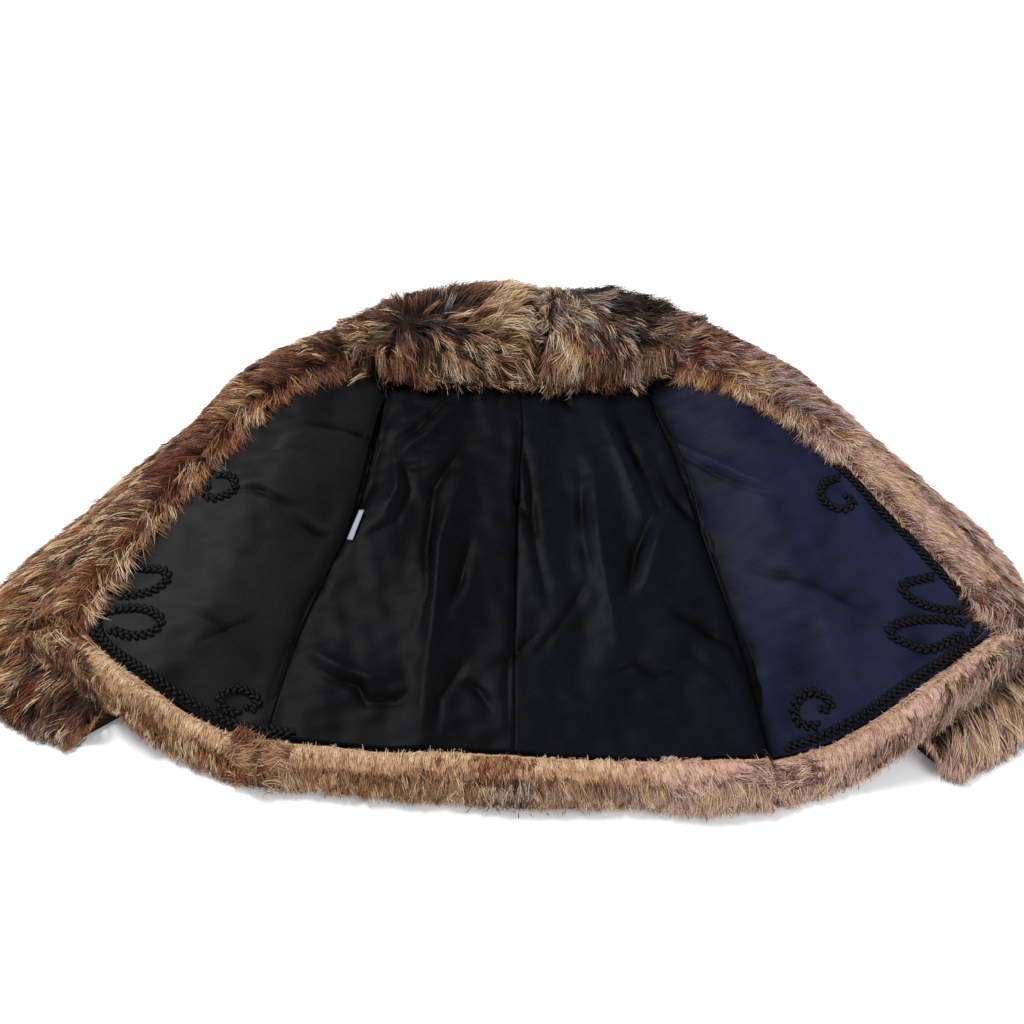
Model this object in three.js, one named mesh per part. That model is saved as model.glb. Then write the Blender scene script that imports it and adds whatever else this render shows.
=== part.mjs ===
// A short fur coat that lies open on its back: fur side down, lining side up, sleeves under the fronts.
// Millimetres. x runs to the right, y towards the collar, z up from the surface that the coat lies on.
import * as THREE from "three";

// Driving sizes
const SEAM_GAP = 0.3;
const SHELL_WALL = 15;
const SLEEVE_WALL = 16;
const EDGE_WALL = 9;
const EDGE_REACH = 26;
const LINING_WALL = 2;
const FACING_FUR = 26;
const HEM_FUR = 22;
const ARMHOLE_SLIT = 5;
const COLLAR_LEAST = 8;

// How far around a point a piece feels what lies under it, so that it bridges instead of cutting in
const REACH = {
  front: 36, facing: 16, hem: 16, backLining: 12, frontLining: 16, collar: 24, cord: 4, label: 8,
};

// A sleeve's walls: at the folds, and how far from the folds and the armhole they grow to full height
const SLEEVE = { underEdge: 6, topEdge: 5, foldReach: 34, headWall: 2, headReach: 85 };

// Height of the soft clumps in the raised fur, and where the facing rises as it leaves the collar
const CLUMP = { facing: 2.5, hem: 2, collar: 4, sleeve: 1.5, sleeveReach: 60 };
const FACING_START = { share: 0.15, from: 0.08, over: 0.2 };
const BRAID = { width: 8.5, height: 5, sides: 6, step: 9, inset: 8, points: 9 };
const LABEL = { width: 14, wall: 0.8, from: [-199, -30], to: [-188, 13] };

// Grid cells of each kind of piece
const CELLS = {
  back: { across: 14, along: 20 },
  front: { across: 9, along: 20 },
  sleeve: { across: 8, along: 16 },
  lining: { across: 12, along: 22 },
  frontLining: { across: 9, along: 22 },
  collar: { across: 9, along: 11 },
};

// Shoulder seam, armhole and side seam, from the neck down to the hem.
const SEAM = [
  { at: "neck", left: [-160, 268], right: [174, 268] },
  { at: "shoulder tip", left: [-172, 214], right: [186, 214] },
  { at: "upper armhole", left: [-182, 132], right: [206, 140] },
  { at: "lower armhole", left: [-190, 60], right: [222, 70] },
  { at: "underarm", left: [-202, -8], right: [233, -8] },
  { at: "upper side", left: [-229, -93], right: [251, -105] },
  { at: "lower side", left: [-254, -185], right: [266, -200] },
  { at: "edge of the lining", left: [-268, -284], right: [277, -304] },
  { at: "edge of the hem", left: [-276, -333], right: [284, -353] },
];
const ARMHOLE = { first: 1, last: 4 };

// Neck edge of the back between the two shoulder seams.
const NECK = [[-160, 268], [-80, 262], [6, 262], [92, 262], [174, 268]];

// Seam between the front lining and the front's fur facing, from the neck to the lower corner.
const LINING_FRONT = [
  { left: [-163.8, 279.9], right: [177.8, 280.2] },
  { left: [-200, 261], right: [212, 259] },
  { left: [-244, 227], right: [256, 222] },
  { left: [-292, 190], right: [305, 182] },
  { left: [-335, 145], right: [355, 140] },
  { left: [-366, 88], right: [395, 95] },
  { left: [-396, 35], right: [427, 46] },
  { left: [-428, -20], right: [460, -10] },
  { left: [-462, -90], right: [505, -90] },
  { left: [-486, -162], right: [546, -168] },
];

// Turned fur edge of each front, from the neck to the lower corner.
const FRONT_EDGE = [
  { left: [-174, 312], right: [188, 313] },
  { left: [-216, 312], right: [230, 314] },
  { left: [-268, 290], right: [284, 292] },
  { left: [-320, 258], right: [336, 260] },
  { left: [-374, 202], right: [394, 208] },
  { left: [-418, 118], right: [440, 130] },
  { left: [-458, 52], right: [482, 75] },
  { left: [-500, -20], right: [525, 5] },
  { left: [-534, -95], right: [570, -85] },
  { left: [-548, -180], right: [600, -184] },
];

// Hem of the fronts, from the lower corner to the side seam.
const HEM_FRONT = [
  { lining: { left: [-486, -162], right: [546, -168] }, edge: { left: [-548, -180], right: [600, -184] } },
  { lining: { left: [-452, -196], right: [500, -199] }, edge: { left: [-500, -208], right: [552, -214] } },
  { lining: { left: [-410, -225], right: [450, -232] }, edge: { left: [-452, -244], right: [500, -250] } },
  { lining: { left: [-365, -251], right: [401, -264] }, edge: { left: [-405, -276], right: [440, -289] } },
  { lining: { left: [-318, -270], right: [340, -291] }, edge: { left: [-345, -308], right: [365, -330] } },
  { lining: { left: [-268, -284], right: [277, -304] }, edge: { left: [-276, -333], right: [284, -353] } },
];

// Hem of the back, from the left side seam to the right. The middle row is the centre-back seam.
const HEM_BACK = [
  { lining: [-268, -284], edge: [-276, -333] },
  { lining: [-205, -290], edge: [-203, -338] },
  { lining: [-136, -297], edge: [-136, -345] },
  { lining: [-68, -297], edge: [-68, -349] },
  { lining: [2, -301], edge: [2, -356] },
  { lining: [68, -305], edge: [68, -356] },
  { lining: [135, -307], edge: [135, -355] },
  { lining: [203, -306], edge: [210, -363] },
  { lining: [277, -304], edge: [284, -353] },
];

// Centre-back seam of the lining, from the neck down.
const CENTRE_BACK = [[6, 262], [14, 172], [9, 60], [4, -100], [2, -301]];

// The two folded edges of a flat sleeve, from the armhole to the cuff, and the cuff's own edge.
const SLEEVE_TOP_FOLD = [
  { left: [-172, 214], right: [186, 214] },
  { left: [-240, 240], right: [256, 246] },
  { left: [-314, 248], right: [338, 258] },
  { left: [-384, 216], right: [395, 240] },
  { left: [-434, 158], right: [440, 203] },
  { left: [-496, 76], right: [482, 136] },
  { left: [-556, -8], right: [538, 54] },
  { left: [-612, -86], right: [598, -30] },
  { left: [-640, -208], right: [642, -243] },
];
const SLEEVE_UNDER_FOLD = [
  { left: [-202, -8], right: [233, -8] },
  { left: [-262, -85], right: [280, -80] },
  { left: [-335, -165], right: [345, -165] },
  { left: [-410, -232], right: [410, -250] },
  { left: [-490, -288], right: [478, -327] },
];
const CUFF = [
  { left: [-640, -208], right: [642, -243] },
  { left: [-588, -241], right: [590, -270] },
  { left: [-536, -268], right: [536, -297] },
  { left: [-490, -288], right: [478, -327] },
];

// Collar halves, from the parting at the centre back to the ends. The near edge is over the lining.
const COLLAR = {
  left: [
    { rise: 0.9, near: [30, 214], far: [50, 392] },
    { rise: 1, near: [-20, 218], far: [-14, 400] },
    { rise: 1, near: [-70, 218], far: [-78, 392] },
    { rise: 1, near: [-124, 216], far: [-144, 376] },
    { rise: 0.9, near: [-172, 228], far: [-202, 352] },
    { rise: 0.8, near: [-212, 244], far: [-246, 316] },
  ],
  right: [
    { rise: 0.9, near: [32, 214], far: [52, 392] },
    { rise: 1, near: [72, 210], far: [92, 390] },
    { rise: 1, near: [112, 212], far: [136, 386] },
    { rise: 1, near: [152, 216], far: [180, 375] },
    { rise: 0.9, near: [192, 230], far: [226, 354] },
    { rise: 0.8, near: [226, 246], far: [272, 320] },
  ],
};
const COLLAR_SECTION = [
  { across: 0, top: 38 },
  { across: 0.12, top: 56 },
  { across: 0.35, top: 78 },
  { across: 0.65, top: 88 },
  { across: 0.88, top: 72 },
  { across: 1, top: 40 },
];

// Height of the facing's fur across its width, as a share of its full height.
const FACING_SECTION = [
  { across: 0, share: 0.3 },
  { across: 0.18, share: 0.75 },
  { across: 0.45, share: 1 },
  { across: 0.72, share: 0.95 },
  { across: 0.9, share: 0.7 },
  { across: 1, share: 0.4 },
];

// The largest folds of the lining: a soft ridge along each row.
const FOLDS = [
  { name: "left long ridge", from: [-68, 66], via: [-90, -60], to: [-99, -270], height: 11, width: 21 },
  { name: "left upper loop", from: [-72, 215], via: [-124, 150], to: [-160, 118], height: 9, width: 18 },
  { name: "left underarm swag", from: [-80, 92], via: [-142, 62], to: [-182, -24], height: 10, width: 19 },
  { name: "left inner ridge", from: [-50, -18], via: [-62, -90], to: [-52, -188], height: 6, width: 15 },
  { name: "left low fold", from: [-236, -196], via: [-172, -224], to: [-104, -226], height: 6, width: 15 },
  { name: "pleat beside the centre", from: [12, 150], via: [26, 10], to: [40, -120], height: 8, width: 15 },
  { name: "centre-back pleat", from: [0, -150], via: [-4, -225], to: [0, -292], height: 6, width: 13 },
  { name: "right long ridge", from: [104, 104], via: [107, -40], to: [123, -190], height: 10, width: 19 },
  { name: "right upper ridge", from: [121, 176], via: [141, 92], to: [166, 0], height: 9, width: 17 },
  { name: "tent ridge", from: [198, 26], via: [176, -45], to: [154, -108], height: 13, width: 20 },
  { name: "right side fold", from: [178, -120], via: [212, -144], to: [254, -190], height: 9, width: 17 },
  { name: "right low fold", from: [200, -180], via: [226, -208], to: [250, -244], height: 7, width: 15 },
  { name: "right cross fold", from: [112, -206], via: [150, -200], to: [188, -206], height: 5, width: 13 },
  { name: "middle slant fold", from: [86, -94], via: [60, -140], to: [24, -190], height: 6, width: 16 },
  { name: "left front upper", from: [-290, 118], via: [-240, 138], to: [-196, 132], height: 5, width: 15 },
  { name: "left front swag", from: [-366, 20], via: [-318, 40], to: [-270, 22], height: 5, width: 17 },
  { name: "left front low", from: [-390, -150], via: [-340, -160], to: [-290, -205], height: 5, width: 16 },
  { name: "right front ridge", from: [214, 112], via: [262, 70], to: [332, 8], height: 6, width: 14 },
  { name: "right front low", from: [300, -90], via: [350, -120], to: [420, -170], height: 5, width: 17 },
];

// Routes of the braid's scrolls on the front linings.
const SCROLLS = {
  scroll_front_left: [
    [-366, 46], [-352, 45], [-343, 34], [-343, 22], [-353, 13], [-368, 10], [-378, 20], [-375, 30],
  ],
  scroll_upper_left: [
    [-442, -87], [-426, -90], [-408, -92], [-400, -103], [-410, -118], [-432, -126], [-455, -126],
  ],
  scroll_lower_left: [
    [-462, -148], [-440, -143], [-414, -146], [-396, -158], [-402, -173], [-426, -178], [-452, -170],
  ],
  scroll_hem_left: [
    [-303, -255], [-322, -247], [-322, -233], [-305, -225], [-288, -233], [-285, -246], [-297, -243],
  ],
  scroll_front_right: [
    [408, 42], [390, 36], [380, 19], [386, 2], [402, -6], [415, 3], [410, 17],
  ],
  scroll_upper_right: [
    [490, -101], [473, -105], [455, -110], [451, -122], [466, -136], [490, -145], [513, -146],
  ],
  scroll_lower_right: [
    [512, -163], [480, -157], [444, -160], [422, -173], [438, -187], [464, -194], [490, -184], [503, -175],
  ],
  scroll_hem_right: [
    [336, -270], [318, -266], [314, -248], [326, -233], [342, -237], [350, -251], [338, -255],
  ],
};

// Stretch of the edge braid, as shares of the front seam and of the front's hem.
const BRAID_RUN = {
  left: { from: 0.5, corner: 0.97, to: 0.84 },
  right: { from: 0.56, corner: 0.97, to: 0.88 },
};

// Colours, roughness and the part of each material
const MATERIALS = {
  fur: { color: 0x8a6650, roughness: 0.9 },
  pale: { color: 0xb89478, roughness: 0.85 },
  collar: { color: 0x5f4a3c, roughness: 0.9 },
  lining: { color: 0x0d0f16, roughness: 0.35 },
  braid: { color: 0x08080a, roughness: 0.6 },
  label: { color: 0xe6e6ea, roughness: 0.6 },
};

// Small helpers for curves and heights

function curve(points) {
  const places = points.map(([x, y]) => new THREE.Vector3(x, y, 0));
  return new THREE.CatmullRomCurve3(places, false, "centripetal");
}

function column(rows, side) {
  return curve(rows.map((row) => row[side]));
}

// The stretch of a curve between two of its parameters.
function stretch(line, from, to) {
  const part = new THREE.Curve();
  part.getPoint = (t) => line.getPoint(from + (to - from) * t);
  return part;
}

function straight(a, b) {
  return new THREE.LineCurve3(new THREE.Vector3(...a, 0), new THREE.Vector3(...b, 0));
}

function smooth(value) {
  const t = THREE.MathUtils.clamp(value, 0, 1);
  return t * t * (3 - 2 * t);
}

function lookUp(rows, key, at, column) {
  const next = Math.max(1, rows.findIndex((row) => row[key] >= at - 1e-9));
  const [a, b] = [rows[next - 1], rows[next]];
  return THREE.MathUtils.lerp(a[column], b[column], (at - a[key]) / (b[key] - a[key]));
}

function steps(count) {
  return Array.from({ length: count + 1 }, (_, i) => i / count);
}

// Soft clumps in the fur, from -1 to 1: two waves that bend each other, sizes in mm.
const WAVES = { x: { size: 17, bend: 1.3, over: 31 }, y: { size: 13, bend: 1.7, over: 23 } };

function clump(x, y) {
  const first = Math.sin(x / WAVES.x.size + WAVES.x.bend * Math.sin(y / WAVES.x.over));
  const second = Math.sin(y / WAVES.y.size + WAVES.y.bend * Math.sin(x / WAVES.y.over));
  return (first + second) / 2;
}

// A fold is highest at its middle, and its foot spreads past its width on each side.
const FOLD = { ends: 0.45, spread: 1.6 };

function foldHeight(x, y) {
  let height = 0;
  for (const fold of FOLDS) {
    const path = [fold.from, fold.via, fold.to];
    for (let k = 0; k < 2; k++) {
      const [ax, ay] = path[k];
      const [dx, dy] = [path[k + 1][0] - ax, path[k + 1][1] - ay];
      const along = THREE.MathUtils.clamp(((x - ax) * dx + (y - ay) * dy) / (dx * dx + dy * dy), 0, 1);
      const away = Math.hypot(x - ax - along * dx, y - ay - along * dy);
      const run = (k + along) / 2;
      const taper = FOLD.ends + (1 - FOLD.ends) * Math.sin(Math.PI * run);
      height = Math.max(height, fold.height * taper * smooth(1 - away / (FOLD.spread * fold.width)));
    }
  }
  return height;
}

// Plan grids: a patch between four edge curves, as grid[row][column] = [x, y]

function patch({ start, end, inner, outer, across, along, byRow = false }) {
  const place = (line, t) => (byRow ? line.getPoint(t) : line.getPointAt(t));
  const corner = [inner.getPoint(0), outer.getPoint(0), inner.getPoint(1), outer.getPoint(1)];
  return along.map((v) => across.map((u) => {
    const [a, b, s, e] = [inner.getPointAt(v), outer.getPointAt(v), place(start, u), place(end, u)];
    const mix = (axis) => (1 - u) * a[axis] + u * b[axis] + (1 - v) * s[axis] + v * e[axis]
      - (1 - v) * ((1 - u) * corner[0][axis] + u * corner[1][axis])
      - v * ((1 - u) * corner[2][axis] + u * corner[3][axis]);
    return [mix("x"), mix("y")];
  }));
}

function planArea(grid) {
  const loop = rim(grid);
  return loop.reduce((sum, p, i) => {
    const q = loop[(i + 1) % loop.length];
    return sum + (p[0] * q[1] - q[0] * p[1]) / 2;
  }, 0);
}

function rimCells(rows, columns) {
  const cells = [];
  for (let i = 0; i < columns; i++) cells.push([0, i]);
  for (let j = 0; j < rows; j++) cells.push([j, columns]);
  for (let i = columns; i > 0; i--) cells.push([rows, i]);
  for (let j = rows; j > 0; j--) cells.push([j, 0]);
  return cells;
}

function rim(grid) {
  return rimCells(grid.length - 1, grid[0].length - 1).map(([j, i]) => grid[j][i]);
}

// Moves the rim of a plan grid inwards by half a seam's gap.
function pullIn(grid, distance = SEAM_GAP / 2) {
  const cells = rimCells(grid.length - 1, grid[0].length - 1);
  const loop = cells.map(([j, i]) => [...grid[j][i]]);
  const turn = Math.sign(planArea(grid));
  const edge = (a, b) => {
    const [dx, dy] = [b[0] - a[0], b[1] - a[1]];
    const length = Math.hypot(dx, dy) || 1;
    return [(-dy / length) * turn, (dx / length) * turn];
  };
  cells.forEach(([j, i], k) => {
    const before = edge(loop[(k + loop.length - 1) % loop.length], loop[k]);
    const after = edge(loop[k], loop[(k + 1) % loop.length]);
    const along = 1 + before[0] * after[0] + before[1] * after[1];
    const reach = distance / Math.max(along, 0.5);
    grid[j][i] = [loop[k][0] + (before[0] + after[0]) * reach, loop[k][1] + (before[1] + after[1]) * reach];
  });
  return grid;
}

// Opens the lining a little along the armhole, where it turns down into the sleeve.
function openArmhole(grid, columnIndex, away) {
  const [top, bottom] = [SEAM[ARMHOLE.first].left[1], SEAM[ARMHOLE.last].left[1]];
  for (const row of grid) {
    const along = (top - row[columnIndex][1]) / (top - bottom);
    if (along > 0 && along < 1) row[columnIndex][0] += away * ARMHOLE_SLIT * Math.sin(Math.PI * along);
  }
  return grid;
}

// Distance from the nearest of the named free edges of a grid, in mm.
function edgeDistance(grid, j, i, free) {
  const [rows, columns] = [grid.length - 1, grid[0].length - 1];
  const to = { inner: [j, 0], outer: [j, columns], start: [0, i], end: [rows, i] };
  const [x, y] = grid[j][i];
  return Math.min(...free.map((name) => {
    const [a, b] = grid[to[name][0]][to[name][1]];
    return Math.hypot(x - a, y - b);
  }));
}

function roundEdge(distance, wall, edgeWall = EDGE_WALL, reach = EDGE_REACH) {
  const t = THREE.MathUtils.clamp(distance / reach, 0, 1);
  return edgeWall + (wall - edgeWall) * Math.sqrt(1 - (1 - t) ** 2);
}

// Solids

const coat = new THREE.Group();
const pieces = {};
const ray = new THREE.Raycaster();
const DOWN = new THREE.Vector3(0, 0, -1);
const SKY = 400;
const RINGS = [[0, 1], [0.2, 5], [0.45, 7], [0.72, 9], [1, 12]];

function keep(name, geometry, look) {
  const material = new THREE.MeshStandardMaterial({ ...MATERIALS[look], metalness: 0 });
  const mesh = new THREE.Mesh(geometry, material);
  mesh.name = name;
  pieces[name] = mesh;
  coat.add(mesh);
}

// Highest point of the pieces below a place and within a short reach around it.
function highest(names, x, y, reach) {
  const below = names.map((name) => pieces[name]);
  let top = 0;
  for (const [share, turns] of RINGS) {
    for (let k = 0; k < turns; k++) {
      const angle = (2 * Math.PI * (k + share / 2)) / turns;
      const [dx, dy] = [share * reach * Math.cos(angle), share * reach * Math.sin(angle)];
      ray.set(new THREE.Vector3(x + dx, y + dy, SKY), DOWN);
      const [hit] = ray.intersectObjects(below, false);
      if (hit) top = Math.max(top, hit.point.z);
    }
  }
  return top;
}

// Closed solid over a plan grid, from its lower heights to its upper heights.
function slab(grid, lower, upper) {
  const [rows, columns] = [grid.length - 1, grid[0].length - 1];
  const level = (heights) => grid.flatMap((row, j) => row.flatMap(([x, y], i) => [x, y, heights(j, i)]));
  const positions = [...level(lower), ...level(upper)];
  const layer = (rows + 1) * (columns + 1);
  const at = (j, i) => j * (columns + 1) + i;
  const faces = [];
  for (let j = 0; j < rows; j++) {
    for (let i = 0; i < columns; i++) {
      const [a, b, c, d] = [at(j, i), at(j, i + 1), at(j + 1, i + 1), at(j + 1, i)];
      faces.push([layer + a, layer + b, layer + c], [layer + a, layer + c, layer + d]);
      faces.push([a, c, b], [a, d, c]);
    }
  }
  const loop = rimCells(rows, columns).map(([j, i]) => at(j, i));
  loop.forEach((a, k) => {
    const b = loop[(k + 1) % loop.length];
    faces.push([a, b, layer + b], [a, layer + b, layer + a]);
  });
  const facing = planArea(grid) > 0 ? faces : faces.map(([a, b, c]) => [a, c, b]);
  const geometry = new THREE.BufferGeometry();
  geometry.setAttribute("position", new THREE.Float32BufferAttribute(positions, 3));
  geometry.setIndex(facing.flat());
  return geometry;
}

// Keeps a table of heights for a grid, so that one piece's top can be the next one's bottom.
function heights(grid, rule) {
  const table = grid.map((row, j) => row.map(([x, y], i) => rule(x, y, j, i)));
  return (j, i) => table[j][i];
}

// Fur wall of the back, flat on the surface below.
function makeBack() {
  const grid = pullIn(patch({
    inner: column(SEAM, "left"),
    outer: column(SEAM, "right"),
    start: curve(NECK),
    end: curve(HEM_BACK.map((row) => row.edge)),
    across: steps(CELLS.back.across),
    along: steps(CELLS.back.along),
  }));
  const upper = heights(grid, (x, y, j, i) => {
    return roundEdge(edgeDistance(grid, j, i, ["start", "end"]), SHELL_WALL);
  });
  keep("back_shell", slab(grid, () => 0, upper), "fur");
}

// A flat sleeve: the under sleeve on the surface, the top sleeve on it, joined at two folds.
function makeSleeve(side) {
  const grid = pullIn(patch({
    inner: column(SLEEVE_TOP_FOLD, side),
    outer: column(SLEEVE_UNDER_FOLD, side),
    start: stretch(column(SEAM, side), ARMHOLE.first / (SEAM.length - 1), ARMHOLE.last / (SEAM.length - 1)),
    end: column(CUFF, side),
    across: steps(CELLS.sleeve.across),
    along: steps(CELLS.sleeve.along),
  }));
  const fold = (j, i) => edgeDistance(grid, j, i, ["inner", "outer", "end"]);
  const opening = (j, i) => edgeDistance(grid, j, i, ["start"]);
  const middle = heights(grid, (x, y, j, i) => {
    return roundEdge(fold(j, i), SLEEVE_WALL, SLEEVE.underEdge, SLEEVE.foldReach);
  });
  const top = heights(grid, (x, y, j, i) => {
    const head = smooth(opening(j, i) / SLEEVE.headReach);
    const wall = roundEdge(fold(j, i), SLEEVE_WALL, SLEEVE.topEdge, SLEEVE.foldReach);
    const soft = CLUMP.sleeve * clump(x, y) * smooth(fold(j, i) / CLUMP.sleeveReach);
    return middle(j, i) + SEAM_GAP + SLEEVE.headWall + (wall - SLEEVE.headWall + soft) * head;
  });
  keep(`under_sleeve_${side}`, slab(grid, () => 0, middle), "fur");
  keep(`top_sleeve_${side}`, slab(grid, (j, i) => middle(j, i) + SEAM_GAP, top), "fur");
}

// Fur wall of an opened front, which lies over its sleeve.
function makeFront(side) {
  const hem = curve(HEM_FRONT.map((row) => row.edge[side]).reverse());
  const grid = pullIn(patch({
    inner: column(SEAM, side),
    outer: column(FRONT_EDGE, side),
    start: straight(SEAM[0][side], FRONT_EDGE[0][side]),
    end: hem,
    across: steps(CELLS.front.across),
    along: steps(CELLS.front.along),
  }));
  const below = [`under_sleeve_${side}`, `top_sleeve_${side}`];
  const lower = heights(grid, (x, y) => {
    const top = highest(below, x, y, REACH.front);
    return top > 0 ? top + SEAM_GAP : 0;
  });
  const upper = heights(grid, (x, y, j, i) => {
    return lower(j, i) + roundEdge(edgeDistance(grid, j, i, ["outer", "end"]), SHELL_WALL);
  });
  keep(`front_shell_${side}`, slab(grid, lower, upper), "fur");
}

// Fur facing along a front's edge, fur side up.
function makeFacing(side) {
  const grid = pullIn(patch({
    inner: column(LINING_FRONT, side),
    outer: column(FRONT_EDGE, side),
    start: straight(LINING_FRONT[0][side], FRONT_EDGE[0][side]),
    end: straight(HEM_FRONT[0].lining[side], HEM_FRONT[0].edge[side]),
    across: FACING_SECTION.map((row) => row.across),
    along: steps(CELLS.frontLining.along),
  }));
  const lower = heights(grid, (x, y) => highest([`front_shell_${side}`], x, y, REACH.facing) + SEAM_GAP);
  const upper = heights(grid, (x, y, j, i) => {
    const out = smooth((j / (grid.length - 1) - FACING_START.from) / FACING_START.over);
    const full = THREE.MathUtils.lerp(FACING_START.share, 1, out);
    return lower(j, i) + (FACING_FUR * FACING_SECTION[i].share + CLUMP.facing * clump(x, y)) * full;
  });
  keep(`facing_${side}`, slab(grid, lower, upper), "pale");
}

// Turned-up fur hem, from the lining's edge out to the hem's edge.
function makeHem(name, plan, below, length) {
  const grid = pullIn(patch({
    ...plan,
    across: steps(length),
    along: FACING_SECTION.map((row) => row.across),
    byRow: true,
  }));
  const lower = heights(grid, (x, y) => highest(below, x, y, REACH.hem) + SEAM_GAP);
  const upper = heights(grid, (x, y, j, i) => {
    return lower(j, i) + HEM_FUR * FACING_SECTION[j].share + CLUMP.hem * clump(x, y);
  });
  keep(name, slab(grid, lower, upper), "pale");
}

function makeHems() {
  for (const side of ["left", "right"]) {
    const [corner, seam] = [HEM_FRONT[0], HEM_FRONT[HEM_FRONT.length - 1]];
    const plan = {
      inner: straight(corner.lining[side], corner.edge[side]),
      outer: straight(seam.lining[side], seam.edge[side]),
      start: curve(HEM_FRONT.map((row) => row.lining[side])),
      end: curve(HEM_FRONT.map((row) => row.edge[side])),
    };
    makeHem(`hem_front_${side}`, plan, [`front_shell_${side}`], CELLS.frontLining.across);
  }
  const [left, right] = [HEM_BACK[0], HEM_BACK[HEM_BACK.length - 1]];
  const plan = {
    inner: straight(left.lining, left.edge),
    outer: straight(right.lining, right.edge),
    start: curve(HEM_BACK.map((row) => row.lining)),
    end: curve(HEM_BACK.map((row) => row.edge)),
  };
  makeHem("hem_back", plan, ["back_shell"], 2 * CELLS.lining.across);
}

// One half of the back lining, between its side seam and the centre-back seam.
function makeBackLining(side) {
  const isLeft = side === "left";
  const neck = curve(NECK);
  const hem = curve(HEM_BACK.map((row) => row.lining));
  const half = isLeft ? [0, 0.5] : [1, 0.5];
  const grid = pullIn(patch({
    inner: column(SEAM.slice(0, -1), side),
    outer: curve(CENTRE_BACK),
    start: stretch(neck, ...half),
    end: stretch(hem, ...half),
    across: steps(CELLS.lining.across),
    along: steps(CELLS.lining.along),
    byRow: true,
  }));
  openArmhole(grid, 0, isLeft ? 1 : -1);
  keepLining(`lining_back_${side}`, grid, ["back_shell"], REACH.backLining);
}

function makeFrontLining(side) {
  const hem = curve(HEM_FRONT.map((row) => row.lining[side]).reverse());
  const grid = pullIn(patch({
    inner: column(SEAM.slice(0, -1), side),
    outer: column(LINING_FRONT, side),
    start: straight(SEAM[0][side], LINING_FRONT[0][side]),
    end: hem,
    across: steps(CELLS.frontLining.across),
    along: steps(CELLS.frontLining.along),
    byRow: true,
  }));
  openArmhole(grid, 0, side === "left" ? -1 : 1);
  keepLining(`lining_front_${side}`, grid, [`front_shell_${side}`], REACH.frontLining);
}

function keepLining(name, grid, below, reach) {
  const lower = heights(grid, (x, y) => highest(below, x, y, reach) + SEAM_GAP + foldHeight(x, y));
  keep(name, slab(grid, lower, (j, i) => lower(j, i) + LINING_WALL), "lining");
}

// One half of the fur collar, from the parting at the centre back to its end over the front.
function makeCollar(side) {
  const half = COLLAR[side];
  const [first, last] = [half[0], half[half.length - 1]];
  const grid = pullIn(patch({
    inner: column(half, "near"),
    outer: column(half, "far"),
    start: straight(first.near, first.far),
    end: straight(last.near, last.far),
    across: steps(CELLS.collar.across),
    along: steps(CELLS.collar.along),
  }));
  const below = ["back_shell", "lining_back_left", "lining_back_right", `front_shell_${side}`,
    `lining_front_${side}`, `facing_${side}`];
  const lower = heights(grid, (x, y) => {
    const top = highest(below, x, y, REACH.collar);
    return top > 0 ? top + SEAM_GAP : 0;
  });
  const rows = half.map((row, k) => ({ at: k / (half.length - 1), rise: row.rise }));
  const upper = heights(grid, (x, y, j, i) => {
    const rise = lookUp(rows, "at", j / (grid.length - 1), "rise");
    const section = lookUp(COLLAR_SECTION, "across", i / (grid[0].length - 1), "top");
    return Math.max(section * rise + CLUMP.collar * clump(x, y), lower(j, i) + COLLAR_LEAST);
  });
  keep(`collar_${side}`, slab(grid, lower, upper), "collar");
}

// A flat cord that lies on the lining along a route of plan points.
function cordSolid(route, below) {
  const line = curve(route);
  const count = Math.max(6, Math.round(line.getLength() / BRAID.step));
  const positions = [];
  const faces = [];
  for (let k = 0; k <= count; k++) {
    const p = line.getPointAt(k / count);
    const t = line.getTangentAt(k / count);
    const base = highest(below, p.x, p.y, REACH.cord) + SEAM_GAP;
    for (let n = 0; n < BRAID.sides; n++) {
      const angle = (2 * Math.PI * n) / BRAID.sides;
      const [out, up] = [(Math.cos(angle) * BRAID.width) / 2, ((1 + Math.sin(angle)) * BRAID.height) / 2];
      positions.push(p.x + t.y * out, p.y - t.x * out, base + up);
    }
  }
  const at = (k, n) => k * BRAID.sides + (n % BRAID.sides);
  for (let k = 0; k < count; k++) {
    for (let n = 0; n < BRAID.sides; n++) {
      faces.push([at(k, n), at(k + 1, n + 1), at(k, n + 1)], [at(k, n), at(k + 1, n), at(k + 1, n + 1)]);
    }
  }
  for (let n = 1; n < BRAID.sides - 1; n++) {
    faces.push([at(0, 0), at(0, n), at(0, n + 1)], [at(count, 0), at(count, n + 1), at(count, n)]);
  }
  const geometry = new THREE.BufferGeometry();
  geometry.setAttribute("position", new THREE.Float32BufferAttribute(positions, 3));
  geometry.setIndex(faces.flat());
  return geometry;
}

// Points of a curve between two of its places, moved sideways towards the inside of the lining.
function inset(line, from, to, turn) {
  return steps(BRAID.points).map((t) => {
    const at = from + (to - from) * t;
    const [p, dir] = [line.getPointAt(at), line.getTangentAt(at)];
    return [p.x - dir.y * BRAID.inset * turn, p.y + dir.x * BRAID.inset * turn];
  });
}

function makeBraid(side) {
  const turn = side === "left" ? 1 : -1;
  const front = column(LINING_FRONT, side);
  const hem = curve(HEM_FRONT.map((row) => row.lining[side]));
  const route = [
    ...inset(front, BRAID_RUN[side].from, BRAID_RUN[side].corner, turn),
    ...inset(hem, 1 - BRAID_RUN[side].corner, BRAID_RUN[side].to, turn),
  ];
  keep(`braid_edge_${side}`, cordSolid(route, [`lining_front_${side}`]), "braid");
}

function makeScrolls() {
  for (const [name, route] of Object.entries(SCROLLS)) {
    const side = name.endsWith("left") ? "left" : "right";
    keep(name, cordSolid(route, [`lining_front_${side}`]), "braid");
  }
}

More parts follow.
